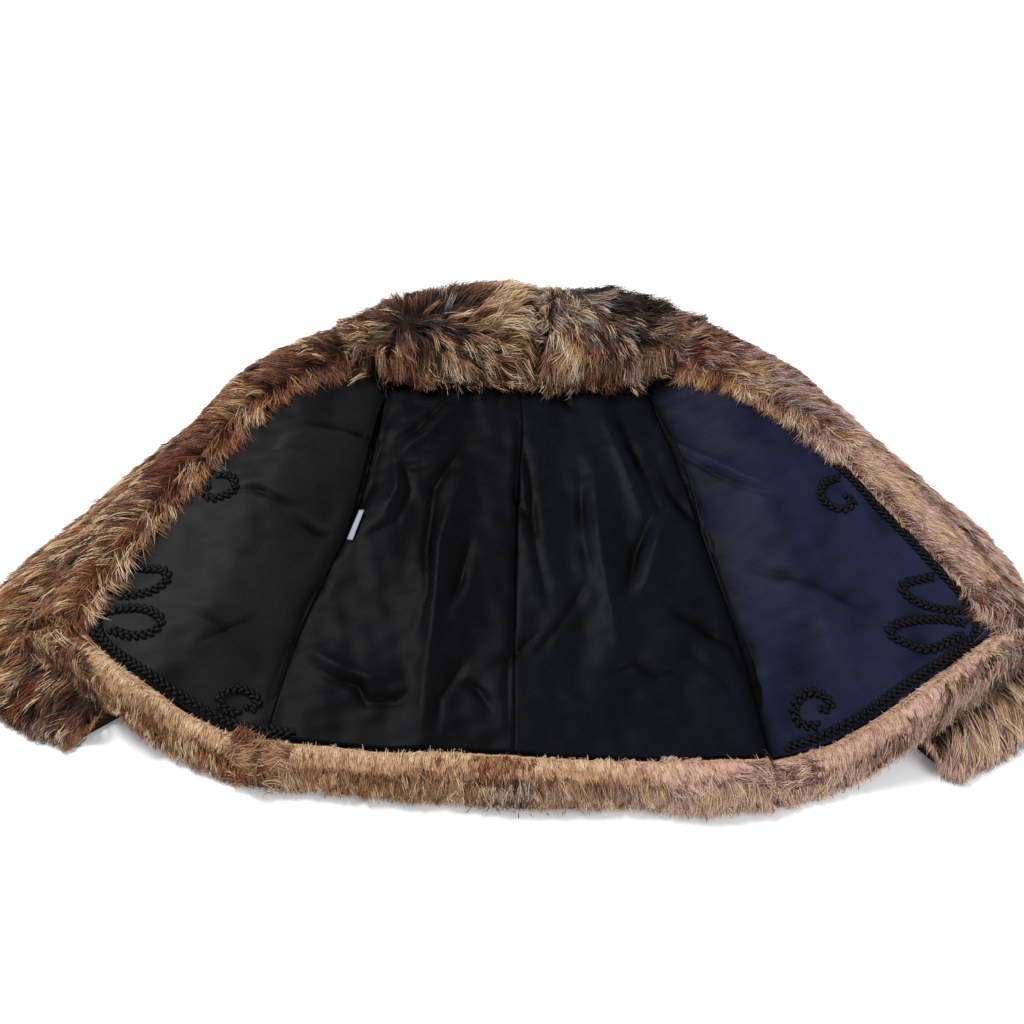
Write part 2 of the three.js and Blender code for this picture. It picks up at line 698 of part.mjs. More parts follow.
// Blank white tab sewn in at the left underarm.
function makeLabel() {
  const [a, b] = [LABEL.from, LABEL.to];
  const length = Math.hypot(b[0] - a[0], b[1] - a[1]);
  const across = [((b[1] - a[1]) / length) * LABEL.width, ((a[0] - b[0]) / length) * LABEL.width];
  const grid = steps(4).map((t) => steps(1).map((u) => [
    THREE.MathUtils.lerp(a[0], b[0], t) + (u - 0.5) * across[0],
    THREE.MathUtils.lerp(a[1], b[1], t) + (u - 0.5) * across[1],
  ]));
  const lower = heights(grid, (x, y) => highest(["lining_back_left"], x, y, REACH.label) + SEAM_GAP);
  keep("label", slab(grid, lower, (j, i) => lower(j, i) + LABEL.wall), "label");
}

makeBack();
for (const side of ["left", "right"]) {
  makeSleeve(side);
  makeFront(side);
  makeFacing(side);
  makeBackLining(side);
  makeFrontLining(side);
}
makeHems();
for (const side of ["left", "right"]) {
  makeCollar(side);
  makeBraid(side);
}
makeScrolls();
makeLabel();

// The origin is on the surface below, under the middle of the coat.
const box = new THREE.Box3().setFromObject(coat);
const middle = box.getCenter(new THREE.Vector3());
coat.position.set(-middle.x, -middle.y, -box.min.z);
coat.updateMatrixWorld(true);

export default coat;
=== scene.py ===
"""Looks of a short fur coat that lies open on its back, lining side up, in Blender.

The tables are in millimetres as the coat is drawn: x to the right, y towards the collar.
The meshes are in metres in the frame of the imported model.
"""

import math
from types import SimpleNamespace

import bmesh
import bpy
import numpy as np
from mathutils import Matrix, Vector
from mathutils.bvhtree import BVHTree


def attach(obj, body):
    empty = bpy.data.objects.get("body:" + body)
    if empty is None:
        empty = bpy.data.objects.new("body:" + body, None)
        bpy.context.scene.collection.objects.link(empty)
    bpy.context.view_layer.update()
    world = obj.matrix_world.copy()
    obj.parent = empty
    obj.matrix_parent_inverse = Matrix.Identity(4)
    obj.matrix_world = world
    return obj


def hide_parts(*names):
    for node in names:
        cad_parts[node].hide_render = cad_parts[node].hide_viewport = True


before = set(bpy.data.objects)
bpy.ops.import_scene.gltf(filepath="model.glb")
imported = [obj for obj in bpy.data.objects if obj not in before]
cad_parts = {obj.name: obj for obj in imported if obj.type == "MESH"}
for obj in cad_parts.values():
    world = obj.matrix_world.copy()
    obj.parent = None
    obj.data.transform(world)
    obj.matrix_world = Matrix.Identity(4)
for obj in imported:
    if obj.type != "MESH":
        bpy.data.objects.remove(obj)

MM = 0.001
SEED = 7

# From the drawing's origin to the frame's origin, in metres
DRAWN_AT = np.array([-0.0010, -0.0184])

# The view that the photograph is taken from, with its height in metres
CAMERA = {"drawn": (0, -700), "up": 1.05, "tilt": math.radians(34.66), "lens": 35.16, "sensor": 36.0}

# The studio: place, size and power of each lamp, in metres and watts
LAMPS = {"key": ((-1.2, 1.0, 2.2), 1.1, 74), "fill": ((1.7, -1.0, 1.9), 1.8, 30)}
SKY = 0.55
FLOOR = {"half": 6.0, "below": 0.0006}

# Shoulder seam, armhole and side seam of each side, from the neck to the hem
SEAM = {
    "left": [(-160, 268), (-172, 214), (-182, 132), (-190, 60), (-202, -8), (-229, -93), (-254, -185),
             (-268, -284), (-276, -333)],
    "right": [(174, 268), (186, 214), (206, 140), (222, 70), (233, -8), (251, -105), (266, -200),
              (277, -304), (284, -353)],
}

# How the fronts sink to the level of the back along the seam: share of the height, and reach in mm
SETTLE = {"share": 0.62, "reach": 105}

# Creases of the lining: height, below zero for a trough, width and route
CREASES = [
    (-5, 15, [(-164, 196), (-184, 53), (-210, -32), (-244, -122), (-265, -216), (-272, -244)]),
    (-4, 11, [(-70, 221), (-128, 145), (-164, 112)]),
    (5, 14, [(-60, 205), (-112, 134), (-158, 92)]),
    (-4, 10, [(-79, 92), (-138, 81), (-129, 46), (-144, -2), (-190, -32)]),
    (5, 14, [(-88, 104), (-150, 92), (-146, 44), (-160, 8)]),
    (-6, 13, [(-58, 132), (-99, 53), (-104, -39), (-100, -106), (-110, -149)]),
    (5, 13, [(-68, 65), (-89, -39), (-91, -138), (-98, -201), (-99, -287)]),
    (-5, 11, [(-50, -20), (-63, -90), (-76, -132)]),
    (-4, 10, [(-52, -188), (-81, -238), (-84, -285)]),
    (-5, 11, [(-235, -197), (-200, -216), (-173, -222), (-163, -242), (-128, -242), (-108, -222)]),
    (4, 13, [(-232, -180), (-196, -200), (-158, -216), (-120, -206)]),
    (-4, 7, [(-66, 264), (-54, 236), (-60, 206)]),
    (4, 8, [(-52, 262), (-40, 232), (-44, 200)]),
    (-4, 7, [(-22, 264), (-12, 230), (-22, 190)]),
    (4, 8, [(48, 262), (44, 228), (58, 196)]),
    (-5, 8, [(66, 262), (62, 226), (78, 186)]),
    (-4, 7, [(118, 262), (110, 236), (124, 206)]),
    (-5, 10, [(11, 157), (5, 35), (24, -3)]),
    (-4, 9, [(-59, -216), (-38, -228), (-24, -250)]),
    (-4, 12, [(31, -158), (-4, -190), (-30, -207)]),
    (-3, 6, [(8, 161), (5, -2), (0, -154), (-6, -230), (0, -305)]),
    (-5, 12, [(13, 140), (24, 53), (29, -39), (42, -122)]),
    (6, 15, [(104, 100), (105, -2), (114, -106), (123, -192)]),
    (-4, 11, [(88, 90), (87, 0), (92, -90)]),
    (5, 14, [(121, 175), (141, 92), (165, -2)]),
    (-5, 13, [(140, 178), (162, 100), (184, 10)]),
    (-5, 12, [(178, 18), (150, -50), (136, -106)]),
    (5, 15, [(198, 24), (174, -45), (155, -106)]),
    (-4, 10, [(114, -207), (140, -195), (162, -212), (188, -203)]),
    (-5, 12, [(179, -122), (211, -142), (252, -176), (267, -224)]),
    (-4, 10, [(201, -180), (231, -212), (248, -242)]),
    (-4, 12, [(87, -93), (62, -138), (22, -191)]),
    (3, 11, [(51, -232), (98, -256)]),
    (-5, 14, [(186, 100), (200, 42), (239, -17), (253, -90), (269, -154), (279, -216), (277, -287)]),
    (-3, 6, [(200, 120), (246, 81), (286, 38), (330, 9)]),
    (3, 7, [(208, 130), (254, 90), (294, 47), (338, 16)]),
    (-4, 8, [(-275, 130), (-217, 138), (-174, 133)]),
    (3, 11, [(-290, 112), (-236, 122), (-184, 118)]),
    (-4, 7, [(-345, 22), (-318, 26), (-290, 14), (-262, 8)]),
    (-4, 7, [(-266, -8), (-240, -22), (-218, -24)]),
    (3, 8, [(-262, 2), (-238, -12), (-214, -16)]),
    (-4, 6, [(-352, -186), (-326, -164), (-296, -140)]),
    (-3, 7, [(-300, 88), (-262, 96), (-222, 90)]),
    (-3, 8, [(-380, -138), (-352, -146), (-320, -166)]),
    (-3, 12, [(288, -78), (340, -104), (412, -158)]),
]

# Fur: where a lock grows, the way it is combed in degrees from x, its length in mm and its tones
FUR = {
    "collar_left": [
        (-205, 300, 162, 46, "brown dark brown cream"),
        (-168, 367, 142, 34, "dark brown brown"),
        (-112, 334, 100, 34, "black dark black brown"),
        (-87, 375, 78, 48, "dark brown cream"),
        (-46, 387, 65, 54, "cream brown cream dark"),
        (-63, 334, 40, 46, "dark brown cream"),
        (-39, 309, 17, 46, "cream cream golden brown"),
        (-15, 263, 352, 44, "cream golden brown"),
        (9, 248, 306, 42, "dark cream brown dark"),
        (20, 204, 273, 36, "dark brown cream dark"),
        (-55, 231, 312, 40, "dark brown dark cream"),
        (-105, 244, 298, 38, "dark black brown cream"),
        (-142, 244, 284, 36, "brown dark brown"),
        (-111, 200, 276, 32, "dark brown dark russet"),
        (-6, 391, 69, 56, "grey cream dark"),
        (29, 387, 82, 58, "dark grey brown"),
        (-17, 340, 28, 46, "cream golden"),
        (25, 300, 340, 44, "golden cream grey dark"),
    ],
    "collar_right": [
        (59, 402, 98, 58, "black dark grey"),
        (89, 375, 112, 44, "grey dark cream"),
        (68, 335, 285, 40, "golden cream grey dark"),
        (81, 309, 320, 42, "grey cream dark"),
        (102, 297, 300, 42, "dark black grey brown"),
        (74, 259, 237, 42, "cream golden cream"),
        (46, 262, 262, 34, "russet russet brown"),
        (50, 232, 262, 38, "dark brown dark cream"),
        (83, 204, 264, 34, "brown dark grey"),
        (137, 344, 80, 40, "black black dark"),
        (165, 360, 57, 42, "dark black black"),
        (150, 318, 350, 36, "black black dark"),
        (193, 322, 26, 44, "black black dark"),
        (223, 315, 25, 52, "dark mauve brown dark"),
        (171, 232, 277, 36, "mauve dark brown cream"),
        (128, 231, 260, 34, "dark black brown russet"),
        (239, 250, 338, 40, "mauve brown dark cream"),
    ],
    "facing_left": [
        (-177, 318, 158, 42, "brown dark brown cream"),
        (-240, 300, 164, 40, "brown dark brown cream"),
        (-234, 268, 176, 38, "brown cream russet dark"),
        (-188, 262, 207, 32, "brown dark russet"),
        (-330, 240, 176, 38, "golden brown cream dark"),
        (-303, 213, 181, 38, "brown dark golden"),
        (-277, 190, 194, 30, "russet brown dark"),
        (-347, 160, 183, 38, "golden cream brown"),
        (-400, 160, 182, 40, "golden golden brown cream"),
        (-375, 102, 188, 34, "russet brown golden dark"),
        (-436, -7, 188, 38, "brown golden dark cream"),
        (-400, 42, 196, 30, "russet russet dark"),
        (-479, -78, 199, 38, "brown golden cream dark"),
        (-452, -98, 207, 28, "russet brown"),
        (-509, -144, 214, 38, "brown golden dark cream"),
        (-480, -172, 224, 28, "russet golden brown"),
    ],
    "facing_right": [
        (215, 300, 44, 42, "dark brown mauve"),
        (259, 296, 44, 42, "dark brown mauve"),
        (292, 281, 42, 42, "brown mauve grey dark"),
        (250, 240, 335, 30, "mauve brown russet"),
        (334, 240, 28, 42, "mauve brown mauve cream"),
        (300, 200, 330, 28, "golden cream mauve"),
        (368, 204, 14, 40, "mauve brown mauve grey"),
        (400, 150, 2, 38, "mauve grey mauve brown"),
        (428, 102, 355, 36, "mauve grey pink"),
        (408, 92, 320, 28, "golden cream pink"),
        (453, 38, 340, 32, "pink mauve cream"),
        (430, 30, 290, 26, "golden cream pink"),
        (486, -60, 321, 24, "pink pink mauve"),
        (505, 0, 334, 34, "mauve grey brown"),
        (532, -50, 328, 36, "mauve grey brown"),
        (541, -100, 312, 38, "mauve brown cream grey"),
        (556, -160, 318, 38, "mauve brown dark grey"),
    ],
    "hem": [
        (-500, -198, 236, 30, "golden brown cream"),
        (-456, -215, 246, 30, "golden brown cream"),
        (-401, -250, 252, 30, "golden cream tan brown"),
        (-338, -292, 261, 32, "golden brown cream"),
        (-285, -312, 267, 32, "russet dark golden"),
        (-228, -320, 277, 34, "golden cream tan"),
        (-120, -330, 278, 34, "golden cream tan brown"),
        (-62, -332, 262, 34, "golden cream tan"),
        (-13, -335, 274, 34, "brown cream grey dark"),
        (60, -338, 282, 34, "golden cream tan mauve"),
        (115, -340, 280, 34, "tan cream mauve"),
        (199, -345, 290, 36, "cream pink mauve pink"),
        (264, -340, 284, 36, "cream pink mauve pink"),
        (340, -312, 270, 32, "mauve cream pink"),
        (424, -270, 280, 32, "mauve pink brown"),
        (502, -222, 288, 30, "mauve cream grey pink"),
        (560, -196, 301, 32, "mauve russet grey"),
    ],
    "sleeves": [
        (-600, -60, 200, 38, "brown golden cream"),
        (-560, -120, 205, 38, "brown golden cream golden"),
        (-610, -180, 214, 40, "golden brown cream"),
        (-539, -231, 214, 40, "brown cream dark russet"),
        (-497, -266, 230, 38, "cream dark brown grey"),
        (-459, -288, 253, 34, "golden brown"),
        (600, -60, 335, 38, "mauve pink mauve"),
        (600, -140, 330, 38, "mauve cream pink"),
        (610, -220, 318, 38, "pink mauve cream"),
        (525, -266, 290, 40, "mauve cream pink cream"),
        (476, -288, 275, 38, "mauve pink cream"),
        (450, -300, 262, 34, "mauve pink mauve"),
    ],
}

# Hair that overhangs the lining, in the same columns
FRINGE = {
    "left": [
        (-176, 272, 276, 26, "cream brown russet"),
        (-210, 255, 300, 22, "brown dark"),
        (-244, 227, 296, 24, "russet brown dark"),
        (-275, 202, 300, 28, "russet dark golden"),
        (-300, 182, 292, 24, "russet golden"),
        (-335, 145, 262, 30, "golden golden cream"),
        (-350, 118, 275, 30, "golden russet"),
        (-366, 88, 288, 24, "russet dark golden"),
        (-384, 56, 268, 30, "russet cream golden"),
        (-400, 28, 282, 26, "golden russet brown"),
        (-428, -20, 272, 30, "golden russet cream"),
        (-444, -54, 262, 34, "cream golden russet"),
        (-462, -90, 268, 36, "golden brown cream"),
        (-474, -126, 286, 30, "cream golden brown"),
        (-486, -158, 300, 18, "russet brown"),
    ],
    "right": [
        (186, 275, 262, 26, "cream brown russet"),
        (212, 259, 250, 22, "russet golden"),
        (240, 236, 258, 26, "golden cream russet"),
        (256, 222, 246, 20, "russet golden"),
        (290, 196, 262, 22, "golden cream brown"),
        (322, 168, 250, 18, "golden golden mauve"),
        (355, 140, 262, 18, "golden cream mauve"),
        (384, 108, 275, 24, "cream mauve pink"),
        (395, 94, 262, 30, "cream mauve cream"),
        (410, 74, 290, 18, "mauve pink"),
        (440, 24, 262, 10, "pink mauve"),
    ],
}

# The fur's tones: colour at a hair's root, middle and tip, in sRGB
TONES = {
    "black": ((0.02, 0.008, 0.006), (0.085, 0.045, 0.035), (0.34, 0.25, 0.21)),
    "dark": ((0.05, 0.022, 0.015), (0.19, 0.105, 0.075), (0.60, 0.48, 0.40)),
    "umber": ((0.12, 0.05, 0.03), (0.38, 0.22, 0.15), (0.56, 0.37, 0.26)),
    "russet": ((0.11, 0.035, 0.02), (0.40, 0.18, 0.10), (0.60, 0.35, 0.22)),
    "brown": ((0.09, 0.045, 0.025), (0.38, 0.23, 0.15), (0.72, 0.54, 0.42)),
    "golden": ((0.13, 0.07, 0.035), (0.54, 0.36, 0.22), (0.82, 0.65, 0.45)),
    "tan": ((0.36, 0.25, 0.17), (0.57, 0.42, 0.30), (0.74, 0.58, 0.43)),
    "peach": ((0.46, 0.34, 0.25), (0.70, 0.54, 0.41), (0.82, 0.68, 0.54)),
    "pale": ((0.60, 0.49, 0.38), (0.82, 0.71, 0.57), (0.92, 0.84, 0.71)),
    "pink": ((0.48, 0.34, 0.31), (0.76, 0.61, 0.55), (0.89, 0.78, 0.73)),
    "mauve": ((0.20, 0.13, 0.12), (0.58, 0.45, 0.41), (0.93, 0.82, 0.78)),
    "grey": ((0.12, 0.09, 0.085), (0.56, 0.51, 0.49), (0.95, 0.91, 0.89)),
    "cream": ((0.20, 0.12, 0.075), (0.74, 0.61, 0.46), (1.0, 0.95, 0.84)),
}

# Edge of the lining: down each front from the neck, and along the hem from left to right
LINING_EDGE = {
    "left": [(-164, 280), (-200, 261), (-244, 227), (-292, 190), (-335, 145), (-366, 88), (-396, 35),
             (-428, -20), (-462, -90), (-486, -162)],
    "right": [(178, 280), (212, 259), (256, 222), (305, 182), (355, 140), (395, 95), (427, 46),
              (460, -10), (505, -90), (546, -168)],
    "hem": [(-486, -162), (-452, -196), (-410, -225), (-365, -251), (-318, -270), (-268, -284),
            (-205, -290), (-136, -297), (-68, -297), (2, -301), (68, -305), (135, -307), (203, -306),
            (277, -304), (340, -291), (401, -264), (450, -232), (500, -199), (546, -168)],
}

# Braid: size of the plait's leaves, its pitch, and how far it lies inside the lining's edge
BRAID = {"pitch": 7.6, "leaf": 10.4, "wide": 5.4, "thick": 4.4, "reach": 2.4, "slant": 38, "inset": 8}
SCROLLS = {
    "scroll_front_left": [(-366, 46), (-352, 45), (-343, 34), (-343, 22), (-353, 13), (-368, 10), (-378, 20),
                          (-375, 30)],
    "scroll_upper_left": [(-442, -87), (-426, -90), (-408, -92), (-400, -103), (-410, -118), (-432, -126),
                          (-455, -126)],
    "scroll_lower_left": [(-462, -148), (-440, -143), (-414, -146), (-396, -158), (-402, -173), (-426, -178),
                          (-452, -170)],
    "scroll_hem_left": [(-303, -255), (-322, -247), (-322, -233), (-305, -225), (-288, -233), (-285, -246),
                        (-297, -243)],
    "scroll_front_right": [(408, 42), (390, 36), (380, 19), (386, 2), (402, -6), (415, 3), (410, 17)],
    "scroll_upper_right": [(490, -101), (473, -105), (455, -110), (451, -122), (466, -136), (490, -145),
                           (513, -146)],
    "scroll_lower_right": [(512, -163), (480, -157), (444, -160), (422, -173), (438, -187), (464, -194),
                           (490, -184), (503, -175)],
    "scroll_hem_right": [(336, -270), (318, -266), (314, -248), (326, -233), (342, -237), (350, -251),
                         (338, -255)],
}


def drawn(points):
    """Drawing millimetres as plan places in the frame."""
    return np.asarray(points, float) * MM + DRAWN_AT


def smoothstep(value):
    t = np.clip(value, 0, 1)
    return t * t * (3 - 2 * t)


def near(spot, places, reach):
    """From 0 to 1, how near plan places are to a spot in the drawing."""
    return smoothstep(1 - np.linalg.norm(places[:, :2] - drawn(spot), axis=1) / (reach * MM))


def along_route(route, places):
    """Distance of each place from a polyline and how far along it the nearest point is, from 0 to 1."""
    best = np.full(len(places), 1e9)
    run = np.zeros(len(places))
    for k, (a, b) in enumerate(zip(route[:-1], route[1:])):
        step = b - a
        t = np.clip(((places - a) @ step) / (step @ step), 0, 1)
        away = np.linalg.norm(places - a - t[:, None] * step, axis=1)
        nearer = away < best
        best[nearer] = away[nearer]
        run[nearer] = (k + t[nearer]) / (len(route) - 1)
    return best, run


def rounded(route, count):
    """A smooth curve through the points of a route, at even steps."""
    p = np.vstack([2 * route[0] - route[1], route, 2 * route[-1] - route[-2]])
    t = np.linspace(0, 1, 16, endpoint=False)[:, None]
    parts = []
    for a, b, c, d in zip(p[:-3], p[1:-2], p[2:-1], p[3:]):
        parts.append(0.5 * (2 * b + (c - a) * t + (2 * a - 5 * b + 4 * c - d) * t ** 2
                            + (3 * b - a - 3 * c + d) * t ** 3))
    fine = np.vstack([*parts, route[-1:]])
    run = np.concatenate([[0], np.cumsum(np.linalg.norm(np.diff(fine, axis=0), axis=1))])
    at = np.linspace(0, run[-1], count)
    return np.stack([np.interp(at, run, fine[:, k]) for k in range(2)], 1), run[-1]


def directions(line):
    """Unit tangents and normals along a plan route."""
    tangent = np.gradient(line, axis=0)
    tangent /= np.linalg.norm(tangent, axis=1, keepdims=True)
    return tangent, np.stack([-tangent[:, 1], tangent[:, 0]], 1)


def waves(x, y, size, seed):
    """Smooth uneven waves from about -1 to 1, with features of about the given size."""
    rng = np.random.default_rng(seed)
    total = np.zeros_like(x)
    for _ in range(7):
        turn, phase = rng.uniform(0, 2 * math.pi, 2)
        scale = 2 * math.pi / (size * rng.uniform(0.7, 1.6))
        total += np.sin((x * math.cos(turn) + y * math.sin(turn)) * scale + phase)
    return total / 3.2


# Meshes as arrays

def node_arrays(node, cuts):
    """Points and triangles of a CAD node, welded and with every edge cut."""
    bm = bmesh.new()
    bm.from_mesh(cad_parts[node].data)
    bmesh.ops.remove_doubles(bm, verts=bm.verts, dist=0.02 * MM)
    if cuts:
        bmesh.ops.subdivide_edges(bm, edges=bm.edges, cuts=cuts, use_grid_fill=True)
    bmesh.ops.triangulate(bm, faces=bm.faces)
    points = np.array([v.co for v in bm.verts], float)
    triangles = np.array([[v.index for v in f.verts] for f in bm.faces], int)
    bm.free()
    return points, triangles


def edges_of(triangles):
    pairs = np.vstack([triangles[:, [0, 1]], triangles[:, [1, 2]], triangles[:, [2, 0]]])
    return np.unique(np.sort(pairs, axis=1), axis=0)


def relax(values, edges, rounds):
    """Each value moves to the mean of its neighbours, round after round."""
    count = np.bincount(edges.ravel(), minlength=len(values)).astype(float)
    values = values.copy()
    for _ in range(rounds):
        total = np.zeros_like(values)
        np.add.at(total, edges[:, 0], values[edges[:, 1]])
        np.add.at(total, edges[:, 1], values[edges[:, 0]])
        values = total / (count if values.ndim == 1 else count[:, None])
    return values


def normals_of(points, triangles):
    a, b, c = (points[triangles[:, k]] for k in range(3))
    face = np.cross(b - a, c - a)
    total = np.zeros_like(points)
    for k in range(3):
        np.add.at(total, triangles[:, k], face)
    return total / np.maximum(np.linalg.norm(total, axis=1, keepdims=True), 1e-12)


def make_object(name, points, corners, sizes, uv=None):
    """An object from arrays: points, all faces' corners in a row, and each face's number of corners."""
    mesh = bpy.data.meshes.new(name)
    mesh.vertices.add(len(points))
    mesh.vertices.foreach_set("co", np.asarray(points, np.float32).ravel())
    mesh.loops.add(len(corners))
    mesh.loops.foreach_set("vertex_index", np.asarray(corners, np.int32))
    mesh.polygons.add(len(sizes))
    mesh.polygons.foreach_set("loop_start", np.concatenate([[0], np.cumsum(sizes)[:-1]]).astype(np.int32))
    mesh.update(calc_edges=True)
    mesh.polygons.foreach_set("use_smooth", np.full(len(sizes), True))
    if uv is not None:
        layer = mesh.uv_layers.new(name="OFBake")
        layer.data.foreach_set("uv", np.asarray(uv, np.float32).ravel())
    mesh.validate()
    obj = bpy.data.objects.new(name, mesh)
    bpy.context.scene.collection.objects.link(obj)
    return obj


def make_triangles(name, points, triangles):
    return make_object(name, points, triangles.ravel(), np.full(len(triangles), 3))


def settle(points):
    """Lowers the layers of a front towards the level of the back, near the seam that joins them."""
    moved = points.copy()
    for seam in SEAM.values():
        away, _ = along_route(drawn(seam), points[:, :2])
        moved[:, 2] *= 1 - SETTLE["share"] * smoothstep(1 - away / (SETTLE["reach"] * MM))
    return moved


# Materials

def srgb(colour):
    return tuple(((c + 0.055) / 1.055) ** 2.4 if c > 0.04045 else c / 12.92 for c in colour) + (1.0,)


def new_material(name):
    material = bpy.data.materials.new(name)
    material.use_nodes = True
    nodes, links = material.node_tree.nodes, material.node_tree.links
    return material, nodes, links, nodes["Principled BSDF"]


def ramp(nodes, stops):
    node = nodes.new("ShaderNodeValToRGB")
    elements = node.color_ramp.elements
    while len(elements) < len(stops):
        elements.new(0.5)
    for element, (place, colour) in zip(elements, stops):
        element.position = place
        element.color = colour
    return node


def set_shine(shader, roughness, specular=None):
    shader.inputs["Roughness"].default_value = roughness
    if specular is not None:
        shader.inputs["Specular IOR Level"].default_value = specular


def tone_place(k):
    return (k + 0.5) / len(TONES)


HAIR_SPECULAR = 0.2

# Where up the hair the middle and the tip colour set in
HAIR_BLENDS = [(0.0, 0.42), (0.5, 1.0)]


def hair_material(name, roughness):
    """Hair coloured by its tone across the map and from root to tip up the map."""
    material, nodes, links, shader = new_material(name)
    uv = nodes.new("ShaderNodeUVMap")
    uv.uv_map = "OFBake"
    split = nodes.new("ShaderNodeSeparateXYZ")
    links.new(uv.outputs["UV"], split.inputs["Vector"])
    tones = list(TONES.values())
    ramps = []
    for part in range(3):
        colours = ramp(nodes, [(tone_place(k), srgb(tone[part])) for k, tone in enumerate(tones)])
        links.new(split.outputs["X"], colours.inputs["Fac"])
        ramps.append(colours)
    colour = ramps[0].outputs["Color"]
    for (low, high), part in zip(HAIR_BLENDS, ramps[1:]):
        share = nodes.new("ShaderNodeMapRange")
        share.interpolation_type = "SMOOTHSTEP"
        share.inputs["From Min"].default_value = low
        share.inputs["From Max"].default_value = high
        links.new(split.outputs["Y"], share.inputs["Value"])
        mix = nodes.new("ShaderNodeMix")
        mix.data_type = "RGBA"
        links.new(share.outputs["Result"], mix.inputs["Factor"])
        links.new(colour, mix.inputs["A"])
        links.new(part.outputs["Color"], mix.inputs["B"])
        colour = mix.outputs["Result"]
    links.new(colour, shader.inputs["Base Color"])
    set_shine(shader, roughness, HAIR_SPECULAR)
    return material


def noise(nodes, links, scale, detail=3.0, stretch=(1, 1, 1), turn=0.0):
    """Noise over the frame's own coordinates. The scale is in features a metre."""
    place = nodes.new("ShaderNodeTexCoord")
    mapping = nodes.new("ShaderNodeMapping")
    mapping.inputs["Scale"].default_value = stretch
    mapping.inputs["Rotation"].default_value = (0, 0, turn)
    links.new(place.outputs["Object"], mapping.inputs["Vector"])
    texture = nodes.new("ShaderNodeTexNoise")
    texture.inputs["Scale"].default_value = scale
    texture.inputs["Detail"].default_value = detail
    links.new(mapping.outputs["Vector"], texture.inputs["Vector"])
    return texture


def bump(nodes, links, shader, source, distance, strength=1.0):
    node = nodes.new("ShaderNodeBump")
    node.inputs["Distance"].default_value = distance
    node.inputs["Strength"].default_value = strength
    links.new(source, node.inputs["Height"])
    links.new(node.outputs["Normal"], shader.inputs["Normal"])
    return node


def mottled_material(name, texture, stops, roughness, specular=None, depth=None):
    """A surface coloured by fine noise, and with relief of the same noise where a depth is given."""
    material, nodes, links, shader = new_material(name)
    grain = noise(nodes, links, *texture)
    colours = ramp(nodes, stops)
    links.new(grain.outputs["Fac"], colours.inputs["Fac"])
    links.new(colours.outputs["Color"], shader.inputs["Base Color"])
    set_shine(shader, roughness, specular)
    if depth is not None:
        bump(nodes, links, shader, grain.outputs["Fac"], depth)
    return material


def skin_material(name, deep, mid, light):
    """Dense underfur: matt, finely mottled."""
    stops = [(0.25, srgb(deep)), (0.5, srgb(mid)), (0.78, srgb(light))]
    return mottled_material(name, (420, 4), stops, 0.9, 0.15, 0.0012)


# Near-black that the painted shade mixes into the satin's colour in troughs and seam valleys
TROUGH_SHADE_COLOUR = (0.008, 0.008, 0.010)
SATIN_SHINE = (0.44, 0.035)

# Noise of the satin's fine creases and of its weave, each with its bump: distance and strength
SATIN_CREASE = ((34, 5, (1, 2.2, 1), 0.5), (0.0009, 0.6))
SATIN_WEAVE = ((1900, 2, (1, 3, 1)), (0.00012, 0.5))


def satin_material(name, tints):
    """Dark satin lining: its tint runs across the coat, and shade is painted into its colour, darker in the
    troughs of its creases and beside the side seams.
    """
    material, nodes, links, shader = new_material(name)
    place = nodes.new("ShaderNodeTexCoord")
    split = nodes.new("ShaderNodeSeparateXYZ")
    links.new(place.outputs["Object"], split.inputs["Vector"])
    across = nodes.new("ShaderNodeMapRange")
    across.inputs["From Min"].default_value = tints[0][0] * MM
    across.inputs["From Max"].default_value = tints[-1][0] * MM
    links.new(split.outputs["X"], across.inputs["Value"])
    width = tints[-1][0] - tints[0][0]
    colours = ramp(nodes, [((x - tints[0][0]) / width, srgb(colour)) for x, colour in tints])
    links.new(across.outputs["Result"], colours.inputs["Fac"])
    # Painted shade: a point attribute darkens the tint towards the near-black trough colour
    trough_shade = nodes.new("ShaderNodeAttribute")
    trough_shade.attribute_name = "trough_shade"
    mix = nodes.new("ShaderNodeMix")
    mix.data_type = "RGBA"
    mix.inputs["B"].default_value = srgb(TROUGH_SHADE_COLOUR)
    links.new(trough_shade.outputs["Fac"], mix.inputs["Factor"])
    links.new(colours.outputs["Color"], mix.inputs["A"])
    links.new(mix.outputs["Result"], shader.inputs["Base Color"])
    set_shine(shader, *SATIN_SHINE)
    crease = noise(nodes, links, *SATIN_CREASE[0])
    first = bump(nodes, links, shader, crease.outputs["Fac"], *SATIN_CREASE[1])
    weave = noise(nodes, links, *SATIN_WEAVE[0])
    second = bump(nodes, links, shader, weave.outputs["Fac"], *SATIN_WEAVE[1])
    links.new(first.outputs["Normal"], second.inputs["Normal"])
    return material


# Roughness of the hair on each part
HAIR_ROUGHNESS = {"shell": 0.55, "facing": 0.5, "hem": 0.55, "collar": 0.5}

# Underfur of each part, and of the right front: its deep, middle and light colour, in sRGB
UNDERFUR = {
    "shell": ((0.07, 0.04, 0.03), (0.17, 0.11, 0.08), (0.30, 0.21, 0.15)),
    "facing": ((0.08, 0.04, 0.03), (0.18, 0.10, 0.07), (0.32, 0.21, 0.15)),
    "front": ((0.22, 0.15, 0.13), (0.40, 0.30, 0.27), (0.58, 0.47, 0.43)),
    "hem": ((0.42, 0.30, 0.22), (0.66, 0.52, 0.40), (0.80, 0.67, 0.54)),
    "collar": ((0.04, 0.02, 0.015), (0.11, 0.07, 0.05), (0.22, 0.15, 0.11)),
}

# The satin's tint at places across the coat, in sRGB
TINTS = {
    "front_left": [(-490, (0.118, 0.112, 0.114)), (-160, (0.080, 0.078, 0.082))],
    "front_right": [(180, (0.055, 0.064, 0.12)), (330, (0.098, 0.110, 0.188)),
                    (560, (0.125, 0.138, 0.225))],
    "back": [(-270, (0.030, 0.030, 0.036)), (-60, (0.026, 0.026, 0.036)),
             (60, (0.040, 0.046, 0.064)), (280, (0.046, 0.056, 0.092))],
}

